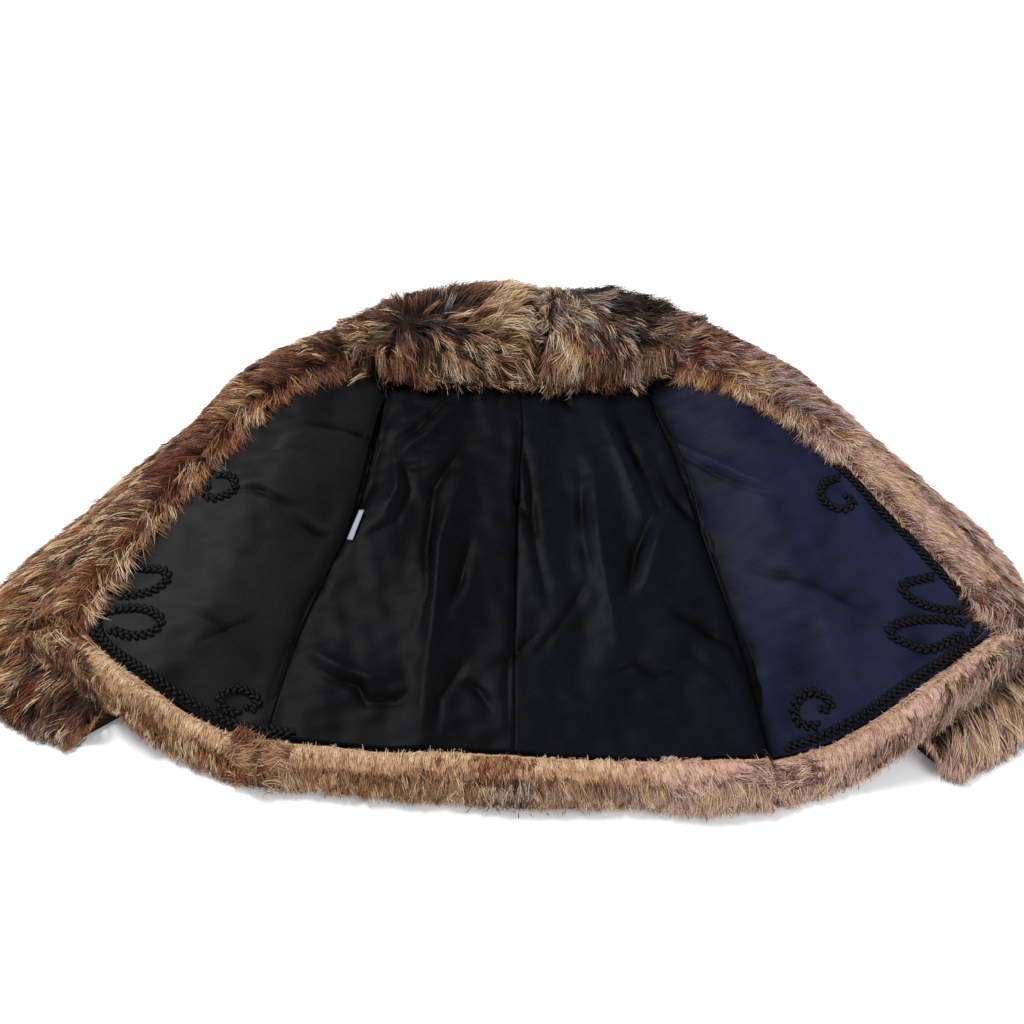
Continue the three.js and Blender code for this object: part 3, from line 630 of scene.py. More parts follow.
LOOKS = {f"{part}_fur": hair_material(f"hair_{part}", value) for part, value in HAIR_ROUGHNESS.items()}
SKINS = {f"{part}_fur": skin_material(f"underfur_{part}", *tones) for part, tones in UNDERFUR.items()}
SATIN = {part: satin_material(f"satin_{part}", tints) for part, tints in TINTS.items()}
CORD = mottled_material("plaited_cord", (900, 3), [(0.3, srgb((0.006, 0.006, 0.010))),
                                                   (0.75, srgb((0.030, 0.030, 0.036)))], 0.5, 0.12, 0.0005)
TAPE = mottled_material("woven_tape", (1500, 2, (1, 3, 1)), [(0.3, srgb((0.42, 0.43, 0.48))),
                                                             (0.7, srgb((0.60, 0.61, 0.66)))], 0.6,
                        depth=0.0002)
FLOOR_PALE = mottled_material("floor_pale", (6, 2), [(0.3, (0.90, 0.90, 0.90, 1)),
                                                     (0.7, (0.93, 0.93, 0.93, 1))], 0.9)


def finish_piece(obj, material, slot, *nodes):
    obj.data.materials.append(material)
    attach(obj, "root")
    if nodes:
        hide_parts(*nodes)
    return obj


# Camera and light

def make_camera():
    data = bpy.data.cameras.new("view")
    data.lens, data.sensor_width = CAMERA["lens"], CAMERA["sensor"]
    camera = bpy.data.objects.new("view", data)
    camera.location = (*drawn(CAMERA["drawn"]), CAMERA["up"])
    camera.rotation_euler = (CAMERA["tilt"], 0, 0)
    bpy.context.scene.collection.objects.link(camera)
    bpy.context.scene.camera = camera


def make_lamp(name, place, size, power):
    """A round lamp that faces the frame's origin."""
    data = bpy.data.lights.new(name, "AREA")
    data.shape, data.size, data.energy = "DISK", size, power
    lamp = bpy.data.objects.new(name, data)
    lamp.location = place
    lamp.rotation_euler = (-Vector(place)).to_track_quat("-Z", "Y").to_euler()
    bpy.context.scene.collection.objects.link(lamp)


def make_studio():
    for name, (place, size, power) in LAMPS.items():
        make_lamp(name, place, size, power)
    world = bpy.data.worlds.new("studio")
    world.use_nodes = True
    sky = world.node_tree.nodes["Background"]
    sky.inputs["Color"].default_value = (1, 1, 1, 1)
    sky.inputs["Strength"].default_value = SKY
    bpy.context.scene.world = world
    bpy.context.scene.view_settings.view_transform = "Standard"
    half, z = FLOOR["half"], -FLOOR["below"]
    corners = [(-half, -half, z), (half, -half, z), (half, half, z), (-half, half, z)]
    floor = make_object("floor", corners, [0, 1, 2, 3], [4])
    floor.data.materials.append(FLOOR_PALE)


# Skins: the dense underfur that the hair grows from

# How far a pelt lies inside its solid, in mm and as a share of the fur's depth, and its lumps
SINK = {"share": 0.34, "most": 10, "below_lining": 7, "edge": 5, "collar_edge": 9, "lumps": 1.6,
        "lump_size": 34, "lump_depth": 12}

# How far upward a face looks at the least: on top of a shell, on any top, and the most on a wall
FACES = {"top": 0.7, "upward": 0.2, "wall": 0.85}

# Where the facings' pelts rise at the neck
NECK = {"spots": {"facing_left": (-222, 292), "facing_right": (252, 292)}, "rise": 25, "reach": 95}

# Scallops along the hem's inner edge
SCALLOP = {"pitch": 15, "out": 2.2, "up": 2.6, "reach": 20}
SKIN_NODES = ["back_shell", "front_shell_left", "front_shell_right", "under_sleeve_left",
              "under_sleeve_right", "top_sleeve_left", "top_sleeve_right", "facing_left", "facing_right",
              "hem_front_left", "hem_front_right", "hem_back", "collar_left", "collar_right"]
SKIN_CUTS = {"hem": 4, "facing": 2, "collar": 2}
ON_A_FRONT = ("front", "hem_front", "facing", "top", "under")


def slot_of(node):
    part = "shell" if "shell" in node or "sleeve" in node else node.split("_")[0]
    return f"{part}_fur"


def rise_above(tree, points, chosen):
    """Height of the chosen points above the underside of their own solid."""
    rise = np.zeros(len(points))
    for k in np.flatnonzero(chosen):
        hit = tree.ray_cast(Vector(points[k] - [0, 0, 0.3 * MM]), Vector((0, 0, -1)))
        rise[k] = hit[3] if hit[0] is not None else 0
    return rise


def scallops(points):
    """Distance from the lining's hem edge, and the swell of the scallops along it from 0 to 1."""
    route = drawn(LINING_EDGE["hem"])
    away, run = along_route(route, points[:, :2])
    length = np.linalg.norm(np.diff(route, axis=0), axis=1).sum()
    turn = run * length / (SCALLOP["pitch"] * MM) + 0.5 * waves(points[:, 0], points[:, 1] * 0, 0.06, 4)
    return away, np.abs(np.sin(math.pi * turn)) ** 0.7


def scallop(points, upward):
    """Rolls the hem's inner edge into small uneven scallops."""
    away, swell = scallops(points)
    bulge = swell - 0.6
    share = np.where(upward, smoothstep(1 - away / (SCALLOP["reach"] * MM)), 0)
    points[:, 2] += share * bulge * SCALLOP["up"] * MM
    points[:, 1] += share * bulge * SCALLOP["out"] * MM
    return points


def sink(node, points, normals, upward):
    """Moves a pelt's top and outer walls a little inside its solid, with lumps on top."""
    if "shell" in node:
        points[normals[:, 2] > FACES["top"], 2] -= SINK["below_lining"] * MM
    else:
        coarse, coarse_triangles = node_arrays(node, 0)
        tree = BVHTree.FromPolygons(coarse.tolist(), coarse_triangles.tolist())
        rise = rise_above(tree, points, upward)
        points[:, 2] -= np.minimum(SINK["share"] * rise, SINK["most"] * MM)
        lump = waves(points[:, 0], points[:, 1], SINK["lump_size"] * MM, 3) * SINK["lumps"] * MM
        points[:, 2] += np.where(upward, lump * np.minimum(1, rise / (SINK["lump_depth"] * MM)), 0)
    outer = np.abs(normals[:, 2]) < FACES["wall"]
    edge = SINK["collar_edge"] if node.startswith("collar") else SINK["edge"]
    points[outer, :2] -= normals[outer, :2] * edge * MM
    return points


def make_skin(node, slot):
    """A finer copy of a fur solid, a little inside it, so that the hair ends at the solid's form."""
    points, triangles = node_arrays(node, SKIN_CUTS.get(node.split("_")[0], 1))
    normals = normals_of(points, triangles)
    upward = normals[:, 2] > FACES["upward"]
    points = sink(node, points, normals, upward)
    points = np.where(upward[:, None], relax(points, edges_of(triangles), 2), points)
    if node.startswith("hem"):
        points = scallop(points, upward)
    if node.startswith(ON_A_FRONT):
        points = settle(points)
    if node in NECK["spots"]:
        rise = near(NECK["spots"][node], points, NECK["reach"]) * NECK["rise"] * MM
        points[:, 2] += np.where(upward, rise, 0)
    obj = make_triangles(f"pelt_{node}", points, triangles)
    finish_piece(obj, SKINS["front_fur" if node == "facing_right" else slot], slot, node)
    return obj, points, triangles


# Linings

LINING = {"wall": 1.6, "cuts": 5, "rounds": 14}

# Reach of the shade painted into the valley beside each side seam, and the most that it darkens the satin's
# colour
VALLEY_SHADE = {"reach": 26, "dark": 0.9}

# Form of the creases across them, and how unevenly they stand
CREASE = {"height": 1.15, "fall": 2.2, "power": 1.4, "taper": 0.6, "mean": 0.8, "uneven": 0.3, "size": 0.08}

# Finer waves of the satin: height in mm, squeeze along y, size in metres and seed
RIPPLES = [(1.3, 0.5, 0.07, 5), (0.5, 1.0, 0.026, 6)]


def crease_height(x, y):
    """Sum of the creases and of finer uneven waves at plan places, in metres."""
    places = np.stack([x, y], 1)
    total = np.zeros(len(x))
    for k, (height, width, route) in enumerate(CREASES):
        away, run = along_route(drawn(route), places)
        taper = np.sin(math.pi * np.clip(run, 0.03, 0.97)) ** CREASE["taper"]
        swell = CREASE["mean"] + CREASE["uneven"] * waves(x, y, CREASE["size"], 20 + k)
        shape = np.exp(-CREASE["fall"] * (away / (width * MM)) ** CREASE["power"])
        total += CREASE["height"] * height * MM * taper * swell * shape
    for height, squeeze, size, seed in RIPPLES:
        total += height * MM * waves(x, squeeze * y, size, seed)
    return total


def make_shell(name, points, upper, wall, trough_shade):
    """A closed thin shell under a surface, with the shade painted at each point kept as a point attribute.
    """
    count = len(points)
    order = {(tri[k], tri[k - 2]) for tri in upper.tolist() for k in range(3)}
    walls = []
    for p, q in sorted(order):
        if (q, p) not in order:
            walls += [(q, p, p + count), (q, p + count, q + count)]
    faces = np.vstack([upper, upper[:, ::-1] + count, np.array(walls)])
    obj = make_triangles(name, np.vstack([points, points - [0, 0, wall * MM]]), faces)
    layer = obj.data.attributes.new("trough_shade", "FLOAT", "POINT")
    layer.data.foreach_set("value", np.concatenate([trough_shade, trough_shade]).astype(np.float32))
    return obj


def make_lining(node, look):
    """The lining as a thin shell on the form of its solid, with its creases."""
    points, triangles = node_arrays(node, LINING["cuts"])
    a, b, c = (points[triangles[:, k]] for k in range(3))
    face = np.cross(b - a, c - a)
    upper = triangles[face[:, 2] > 0.3 * np.linalg.norm(face, axis=1)]
    used, flat = np.unique(upper, return_inverse=True)
    points, upper = points[used], flat.reshape(upper.shape)
    points[:, 2] = relax(points[:, 2], edges_of(upper), LINING["rounds"])
    if look != "back":
        points = settle(points)
    crease = crease_height(points[:, 0], points[:, 1])
    points[:, 2] += crease
    # Painted shade: the satin's colour is darkened in the troughs of the creases, not on the ridges
    shade = smoothstep((0.35 - crease / (4 * MM)) / 1.5)
    # Painted shade in the valley beside each side seam
    for seam in SEAM.values():
        away, _ = along_route(drawn(seam), points[:, :2])
        shade = np.maximum(shade, VALLEY_SHADE["dark"] * smoothstep(1 - away / (VALLEY_SHADE["reach"] * MM)))
    obj = make_shell(f"satin_{node}", points, upper, LINING["wall"], shade)
    finish_piece(obj, SATIN[look], "lining_satin", node)
    return obj, points, upper


make_camera()
make_studio()
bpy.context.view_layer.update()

skins = {node: make_skin(node, slot_of(node)) for node in SKIN_NODES}
linings = {}
for side in ("left", "right"):
    linings[f"lining_back_{side}"] = make_lining(f"lining_back_{side}", "back")
    linings[f"lining_front_{side}"] = make_lining(f"lining_front_{side}", f"front_{side}")


# The coat's top surface on a plan grid

class Relief:
    """Heights of the top surface, carried on past the outline as a slope that falls to the floor."""

    PITCH = 3 * MM
    FALL = 0.9
    MARGIN = 14

    def __init__(self, meshes):
        offset, points, triangles = 0, [], []
        for _, place, faces in meshes:
            points.append(place)
            triangles.append(faces + offset)
            offset += len(place)
        points, triangles = np.vstack(points), np.vstack(triangles)
        tree = BVHTree.FromPolygons(points.tolist(), triangles.tolist())
        self.low = points[:, :2].min(0) - self.MARGIN * self.PITCH
        size = np.ceil((points[:, :2].max(0) - self.low) / self.PITCH).astype(int) + self.MARGIN
        self.height = np.full(size, np.nan)
        down = Vector((0, 0, -1))
        for i in range(size[0]):
            x = self.low[0] + i * self.PITCH
            for j in range(size[1]):
                hit = tree.ray_cast(Vector((x, self.low[1] + j * self.PITCH, 1.0)), down)[0]
                if hit is not None:
                    self.height[i, j] = hit.z
        self.outside = np.where(np.isnan(self.height), 1.0, 0.0)
        self.spread()

    def neighbours(self, grid):
        padded = np.pad(grid, 1, mode="edge")
        n, m = grid.shape
        for di, dj in ((0, 1), (2, 1), (1, 0), (1, 2), (0, 0), (0, 2), (2, 0), (2, 2)):
            yield padded[di:di + n, dj:dj + m], math.hypot(di - 1, dj - 1) * self.PITCH

    def spread(self):
        """Fills the places outside the outline with a falling slope and their distance from the outline."""
        height = np.nan_to_num(self.height, nan=-1.0)
        away = self.outside.copy()
        for _ in range(2 * self.MARGIN):
            best, near = height.copy(), away.copy()
            for other, step in self.neighbours(height):
                best = np.maximum(best, np.where(self.outside > 0, other - self.FALL * step, -1.0))
            for other, step in self.neighbours(away):
                near = np.minimum(near, other + step)
            height = np.where(self.outside > 0, best, height)
            away = np.where(self.outside > 0, near, 0.0)
        self.height = np.maximum(height, 0)
        self.away = away

    def read(self, grid, places):
        at = np.clip((places - self.low) / self.PITCH, 0, np.array(grid.shape) - 1.001)
        cell = at.astype(int)
        share = at - cell
        i, j = cell[:, 0], cell[:, 1]
        s, t = share[:, 0], share[:, 1]
        return ((1 - s) * (1 - t) * grid[i, j] + s * (1 - t) * grid[i + 1, j]
                + (1 - s) * t * grid[i, j + 1] + s * t * grid[i + 1, j + 1])

    def top(self, places):
        return self.read(self.height, places)

    def beyond(self, places):
        return self.read(self.away, places)


relief = Relief([*skins.values(), *linings.values()])
pelts = Relief(list(skins.values()))


# Hair

# A hair's shape: places along it, its height there as a share of the lift, and its width
HAIR = {"steps": np.array([0, 0.34, 0.68, 1.0]), "rise": np.array([-0.1, 0.8, 1.0, 0.72]),
        "width": np.array([0.75, 1.0, 0.7])}
SHORT = {"steps": np.array([0, 0.5, 1.0]), "rise": np.array([-0.1, 0.9, 0.8]), "width": np.array([0.9, 1.0])}
RAISED = {"steps": HAIR["steps"], "rise": np.array([-0.1, 0.75, 1.05, 1.25]), "width": HAIR["width"]}

# How far up its root-to-tip colours a lock goes, and the share of such locks
SHINE = {"reach": [0.28, 0.6, 1.0], "share": [0.36, 0.28, 0.36]}

# How far a stray hair may reach, in mm from the frame's origin
FARTHEST = {"back": 412, "up": 101.5, "down": 0.2}

# How much locks differ from each other, and the hairs of a lock from the lock
VARY = {"lock_length": (0.75, 1.2), "lock_lift": (0.6, 1.0), "lock_roll": 0.45,
        "length": (0.8, 1.1), "lift": (0.6, 1.1), "turn": 0.45, "bend": 0.3, "roll": 0.35,
        "reach": (0.25, 1.0), "width": (0.7, 1.3), "tone": 0.14, "glow": (0.8, 1.0)}

# What grow does where a call says nothing else. Locks are counted for each 1000 mm2 of pelt. Lengths
# are in mm: the lift over the fur, a hair's width, the spread of a lock, and how far hair may pass
# its pelt's outline over the coat and outside it.
STYLE = {"density": 60, "per_lock": 8, "pile": 9.0, "width": 0.95, "spread": 3.6, "inner": 6.0,
         "outer": 9.0, "wild": 0.16, "scale": 1.0, "keep": None, "tones": None, "shape": HAIR,
         "shine": SHINE, "swell": None, "tufted": 1.0, "seed": 0}

# The hair that grows from each pelt
hair_of = {}

# Where fur grows, in mm: how far ahead of a wall it has to be open, how much lower than the
# surface there it may lie, or how far that is outside the outline, and its least slope upward
OPEN = {"ahead": 7, "over": 2.5, "past": 3, "facing": -0.2}

# Reach in mm and power with which the rows of a fur table act on a lock's comb and on its tone
COMB = {"broad": (18, 1.4), "close": (12, 2.4)}

# How the locks end in an uneven line, and the shortest that a hair is cut
RAGGED = {"mean": 0.65, "vary": 0.5, "least": 0.15, "most": 1.1, "size": 0.03, "shortest": 0.25}

# The slope of a side wall, and how much its outward normal turns the hair there
WALL = {"slope": 0.5, "push": 1.2}

# How much a lock gathers towards its tip, and the share of the lift that dark locks keep
GATHER = 0.72
LEAST_LIFT = 0.35


def scatter(rng, points, triangles, count):
    """Even random places on a mesh, with its normals there."""
    a, b, c = (points[triangles[:, k]] for k in range(3))
    face = np.cross(b - a, c - a)
    area = np.linalg.norm(face, axis=1)
    pick = rng.choice(len(area), size=count, p=area / area.sum())
    u, v = rng.random(count), rng.random(count)
    over = u + v > 1
    u[over], v[over] = 1 - u[over], 1 - v[over]
    place = a[pick] + u[:, None] * (b[pick] - a[pick]) + v[:, None] * (c[pick] - a[pick])
    return place, face[pick] / area[pick, None]


def pull(gap, reach, power):
    """How strongly each row acts at squared distances from it."""
    return 1 / (gap + (reach * MM) ** 2) ** power


def comb(rng, rows, places):
    """Heading, length and tone of the locks at plan places, from the nearest rows of a table."""
    at = drawn([row[:2] for row in rows])
    gap = ((places[:, None, :] - at[None]) ** 2).sum(2)
    broad = pull(gap, *COMB["broad"])
    turn = np.radians([row[2] for row in rows])
    heading = broad @ np.stack([np.cos(turn), np.sin(turn)], 1)
    angle = np.arctan2(heading[:, 1], heading[:, 0])
    length = (broad @ np.array([row[3] for row in rows], float)) / broad.sum(1) * MM
    close = pull(gap, *COMB["close"])
    close /= close.sum(1, keepdims=True)
    chosen = (close.cumsum(1) < rng.random(len(places))[:, None]).sum(1)
    chosen = np.minimum(chosen, len(rows) - 1)
    names = list(TONES)
    choices = [[names.index(word) for word in row[4].split()] for row in rows]
    tone = np.array([choices[row][int(rng.random() * len(choices[row]))] for row in chosen])
    return angle, length, tone


def exposed(places, normals):
    """Whether fur grows there: on the top surface, or on a side wall with nothing in front of it."""
    ahead = places[:, :2] + normals[:, :2] * OPEN["ahead"] * MM
    over = places[:, 2] > relief.top(ahead) - OPEN["over"] * MM
    clear = over | (relief.beyond(ahead) > OPEN["past"] * MM)
    return (normals[:, 2] > OPEN["facing"]) & clear


def ribbons(name, line, flat, half, shape, tone, shine):
    """One mesh of ribbons that taper to a point, with its tone and its place up the hair as the map."""
    n, steps = len(line), len(shape["steps"])
    points = np.zeros((n, 2 * steps - 1, 3))
    for k in range(steps - 1):
        side = flat * (half * shape["width"][k])[:, None]
        points[:, 2 * k] = line[:, k] - side
        points[:, 2 * k + 1] = line[:, k] + side
    points[:, -1] = line[:, -1]
    points[:, :, 1] = np.minimum(points[:, :, 1], FARTHEST["back"] * MM)
    points[:, :, 2] = np.clip(points[:, :, 2], FARTHEST["down"] * MM, FARTHEST["up"] * MM)
    corners, up = [], []
    for k in range(steps - 2):
        corners += [2 * k, 2 * k + 1, 2 * k + 3, 2 * k + 2]
        up += [k, k, k + 1, k + 1]
    corners += [2 * steps - 4, 2 * steps - 3, 2 * steps - 2]
    up += [steps - 2, steps - 2, steps - 1]
    rise = shape["steps"][up] * shine[:, None]
    uv = np.stack([np.repeat(tone, len(up)), np.clip(rise, 0.01, 0.99).ravel()], 1)
    starts = np.arange(n)[:, None] * (2 * steps - 1)
    sizes = np.tile([4] * (steps - 2) + [3], n)
    return make_object(name, points.reshape(-1, 3), (starts + np.array(corners)).ravel(), sizes, uv)


def plant(rng, mesh, rows, count, style):
    """Locks on a pelt: where each grows, how it is combed, how long and high it is and its tone."""
    _, points, triangles = mesh
    a, b, c = (points[triangles[:, k]] for k in range(3))
    area = np.linalg.norm(np.cross(b - a, c - a), axis=1).sum() / 2
    roots, normals = scatter(rng, points, triangles, int(area * style.density * 1000))
    ok = exposed(roots, normals)
    if style.keep is not None:
        ok &= style.keep(roots)
    most = count // style.per_lock
    roots, normals = roots[ok][:most], normals[ok][:most]
    angle, length, tone = comb(rng, rows, roots[:, :2])
    on_wall = normals[:, 2] < WALL["slope"]
    outward = np.where(on_wall, WALL["push"], 0.0)[:, None] * normals[:, :2]
    heading = np.stack([np.cos(angle), np.sin(angle)], 1) + outward
    if style.tones is not None:
        tone = style.tones(rng, roots, tone)
    locks = len(roots)
    angle = np.arctan2(heading[:, 1], heading[:, 0]) + rng.normal(0, style.wild, locks)
    length = length * style.scale * rng.uniform(*VARY["lock_length"], locks)
    glow = rng.choice(style.shine["reach"], locks, p=style.shine["share"])
    share = LEAST_LIFT + 0.65 * glow
    lift = style.pile * MM * share * rng.uniform(*VARY["lock_lift"], locks)
    if style.swell is not None:
        lift = lift * style.swell(roots)
    bend = rng.normal(0, style.wild, locks)
    roll = rng.normal(0, VARY["lock_roll"], locks)
    return {"root": roots, "on_wall": on_wall, "angle": angle, "length": length,
            "lift": lift, "bend": bend, "roll": roll, "glow": glow, "tone": tone}


def part_hairs(rng, locks, style):
    """The hairs of each lock, each a little unlike the lock."""
    hairs = {key: np.repeat(values, style.per_lock, axis=0) for key, values in locks.items()}
    n = len(hairs["root"])
    hairs["away"] = rng.normal(0, style.spread * MM, (n, 2))
    hairs["angle"] = hairs["angle"] + rng.normal(0, VARY["turn"] * style.wild, n)
    hairs["length"] = hairs["length"] * rng.uniform(*VARY["length"], n)
    hairs["lift"] = hairs["lift"] * rng.uniform(*VARY["lift"], n)
    hairs["bend"] = hairs["bend"] + rng.normal(0, VARY["bend"] * style.wild, n)
    hairs["roll"] = hairs["roll"] + rng.normal(0, VARY["roll"], n)
    hairs["forward"] = np.stack([np.cos(hairs["angle"]), np.sin(hairs["angle"])], 1)
    hairs["across"] = np.stack([-hairs["forward"][:, 1], hairs["forward"][:, 0]], 1)
    return hairs


def cut_back(rng, hairs, own, style):
    """Length of the hairs, so that none passes its pelt's outline by more than it may."""
    root, forward, length = hairs["root"][:, :2], hairs["forward"], hairs["length"]
    tip = root + hairs["away"] * 0.3 + forward * length[:, None]
    uneven = RAGGED["mean"] + RAGGED["vary"] * waves(tip[:, 0], tip[:, 1], RAGGED["size"], 8)
    ragged = np.clip(uneven, RAGGED["least"], RAGGED["most"]) ** style.tufted
    limit = np.where(relief.beyond(tip) > MM, style.outer, style.inner) * MM
    allowed = limit * rng.uniform(*VARY["reach"], len(tip)) * ragged
    past = own.beyond(tip) - allowed
    return np.maximum(length - np.maximum(past, 0), RAGGED["shortest"] * length)


def lay(hairs, shape):
    """Points along each hair, over the coat's top surface or down its side wall."""
    length, bend = hairs["length"], hairs["bend"]
    line = np.zeros((len(length), len(shape["steps"]), 3))
    for k, s in enumerate(shape["steps"]):
        start = hairs["root"][:, :2] + hairs["away"] * (1 - GATHER * s)
        plan = (start + hairs["forward"] * (length * s)[:, None]
                + hairs["across"] * (bend * length * s * s)[:, None])
        ground = relief.top(plan)
        ground = np.where(hairs["on_wall"], np.minimum(ground, hairs["root"][:, 2]), ground)
        line[:, k, :2] = plan
        line[:, k, 2] = np.maximum(ground + hairs["lift"] * shape["rise"][k], 0.4 * MM)
    return line


def grow(name, slot, mesh, rows, count, **changes):
    """Ribbon hairs in locks, grown from a pelt: at most count of them, styled as the changes say."""
    style = SimpleNamespace(**{**STYLE, **changes})
    rng = np.random.default_rng(SEED + style.seed)
    hairs = part_hairs(rng, plant(rng, mesh, rows, count, style), style)
    hairs["length"] = cut_back(rng, hairs, Relief([mesh]), style)
    n = len(hairs["length"])
    half = style.width * MM * 0.5 * rng.uniform(*VARY["width"], n)
    level = np.pad(hairs["across"], ((0, 0), (0, 1)))
    roll = hairs["roll"][:, None]
    flat = np.cos(roll) * level + np.sin(roll) * np.array([0, 0, 1.0])
    tone = np.clip((hairs["tone"] + 0.5 + rng.normal(0, VARY["tone"], n)) / len(TONES), 0, 1)
    shine = hairs["glow"] * rng.uniform(*VARY["glow"], n)
    obj = ribbons(name, lay(hairs, style.shape), flat, half, style.shape, tone, shine)
    hair_of.setdefault(mesh[0].name, []).append(finish_piece(obj, LOOKS[slot], slot))


def tone_of(*names):
    return np.array([list(TONES).index(name) for name in names])


# Short fur, in mm: how far from the lining it reaches on the hem and on the right front, and from
# where to where it lies along that front, and the shine of its locks
PLUSH = {"hem": 58, "front": 36, "from": -128, "to": 84, "shine": {"reach": [0.8, 1.0], "share": [0.4, 0.6]}}

# How far from the lining the hem's guard hair starts, in mm, and the shine of its locks
GUARD_FROM = {"mean": 32, "vary": 7}
GUARD_SHINE = {"reach": [0.45, 1.0], "share": [0.35, 0.65]}

# How near the lining hair grows that overhangs it, in mm
FRINGE_REACH = 16

# How far from the middle the sleeves' hair starts, in metres
SLEEVE_FROM = 0.36

# Tones of the hem's combed underfur, by distance from the lining in mm, on the left and on the right
HEM_BANDS = [(9, "pale", "pink"), (24, "peach", "pink"), (40, "tan", "pink"), (62, "tan", "mauve")]

# Places where the hem's fur is russet: x, y and radius in mm
PATCHES = [(-258, -288, 24), (-14, -304, 30), (274, -298, 14), (-478, -176, 22)]

# Tufts that spring over the lining or over the hem's ends, in the columns of the fur tables
TUFTS = {
    "hem_back": [(-256, -318, 190, 22, "tan peach tan"), (270, -326, 350, 22, "pink mauve pink")],
    "hem_front_left": [
        (-288, -312, 345, 22, "tan peach tan"),
        (-278, -286, 70, 26, "russet umber tan"),
        (-258, -284, 104, 28, "umber tan golden"),
        (-484, -186, 236, 32, "cream golden dark russet"),
        (-468, -212, 256, 30, "cream golden dark"),
        (-504, -178, 218, 32, "brown golden cream"),
        (-490, -225, 244, 30, "dark golden cream"),
    ],
    "hem_front_right": [
        (298, -316, 195, 22, "pink mauve pink"),
        (276, -292, 80, 14, "umber tan"),
        (520, -205, 290, 30, "mauve cream dark"),
        (540, -190, 312, 30, "mauve pink dark"),
        (490, -235, 275, 28, "cream mauve brown"),
        (556, -180, 330, 26, "mauve cream russet"),
    ],
}

# Most hairs of each hem piece, underfur and guard hair, and of each facing
HEM_HAIRS = {"hem_front_left": (8000, 4800), "hem_front_right": (8000, 5600), "hem_back": (14000, 10000)}
FACING_HAIRS = {"left": 17000, "right": 14400}

# In mm: the reach of a tuft, how far from the lining outward tufts start, and how far outside the
# lining's hem edge the shells' rims show
TUFT_REACH = 30
TUFTS_FROM = 14
RIM_FROM = 20

# Where each facing meets the collar and the hem, how far its hair stands out past the coat's outline in mm,
# and the hair that drapes from it over the hem's end
FACING_ENDS = {"left": ((-205, 300), (-490, -168)), "right": ((240, 300), (545, -175))}
OUTER = {"left": 18, "right": 28}
NECK_SWELL = {"more": 1.3, "reach": 110}
DRAPE_REACH = 70
CREST_REACH = 36
DRAPE = {
    "left": [(-510, -150, 226, 34, "golden brown dark"), (-486, -165, 248, 40, "russet golden brown"),
             (-470, -160, 262, 30, "russet umber brown")],
    "right": [(560, -160, 312, 34, "mauve grey dark"), (540, -172, 292, 38, "mauve cream brown"),
              (520, -165, 275, 28, "russet mauve brown")],
}

# Hair that drapes from the collar's ends over the facings
COLLAR_ENDS = {
    "left": [(-216, 296, 168, 52, "brown dark brown cream"), (-205, 262, 200, 46, "brown dark brown cream"),
             (-190, 330, 150, 48, "dark brown cream")],
    "right": [(244, 292, 24, 52, "dark brown mauve"), (240, 256, 345, 46, "mauve brown dark"),
              (226, 326, 40, 48, "dark black brown")],
}

# The tuft that stands up in the middle of the collar
CREST = [(52, 374, 84, 48, "cream grey dark cream"), (76, 372, 98, 44, "black dark grey")]


def from_edge(edge, places):
    return along_route(drawn(LINING_EDGE[edge]), places[:, :2])[0] / MM


def in_sheared_front(places):
    """The smooth short fur beside the braid on the right front."""
    y = (places[:, 1] - DRAWN_AT[1]) / MM
    return (from_edge("right", places) < PLUSH["front"]) & (y > PLUSH["from"]) & (y < PLUSH["to"])


def in_patch(places, grow_by=1.0):
    inside = np.zeros(len(places), bool)
    for x, y, radius in PATCHES:
        gap = np.linalg.norm(places[:, :2] - drawn((x, y)), axis=1)
        inside |= gap < radius * MM * grow_by
    return inside


def near_tufts(node, places):
    at = drawn([row[:2] for row in TUFTS[node]])
    inward = np.array([row[2] < 180 for row in TUFTS[node]])
    gap = np.linalg.norm(places[:, None, :2] - at[None], axis=2)
    nearest = gap.argmin(1)
    ragged = 1 + 0.4 * waves(places[:, 0], places[:, 1], 0.018, 11)
    off_lining = inward[nearest] | (from_edge("hem", places) > TUFTS_FROM)
    return (gap.min(1) < TUFT_REACH * MM * ragged) & off_lining


def hem_tones(rng, places, tone):
    """Pale at the lining's edge, then peach and tan on the left, pink on the right, darker hair as painted
    shade in the clefts between the scallops, and russet patches.
    """
    away = from_edge("hem", places) + rng.normal(0, 3.0, len(places))
    on_right = smoothstep((places[:, 0] - 0.06) / 0.16) > rng.random(len(places))
    for limit, left, right in reversed(HEM_BANDS):
        band = np.where(on_right, tone_of(right)[0], tone_of(left)[0])
        tone = np.where(away < limit, band, tone)
    _, swell = scallops(places)
    # Painted shade: near the lining, many hairs in the clefts between scallops take a darker tone
    cleft_shade = (swell < 0.28) & (away < PLUSH["hem"]) & (rng.random(len(places)) < 0.45)
    right, left = tone_of("mauve", "umber")
    tone = np.where(cleft_shade, np.where(on_right, right, left), tone)
    wide = in_patch(places + rng.normal(0, 6 * MM, places.shape))
    return np.where(wide, rng.choice(tone_of("umber", "russet", "tan"), len(places)), tone)


def guard_tones(rng, places, tone):
    """In the russet patches the guard hair is russet, with a few pale strands."""
    russet = in_patch(places, 1.2) & (rng.random(len(places)) < 0.7)
    return np.where(russet, tone_of("russet")[0], tone)


def sheared_tones(rng, places, tone):
    return rng.choice(tone_of("pink", "mauve", "pink", "peach", "mauve", "cream"), len(places))


def on_guard(places):
    start = GUARD_FROM["mean"] + GUARD_FROM["vary"] * waves(places[:, 0], places[:, 1], 0.014, 12)
    return from_edge("hem", places) > start


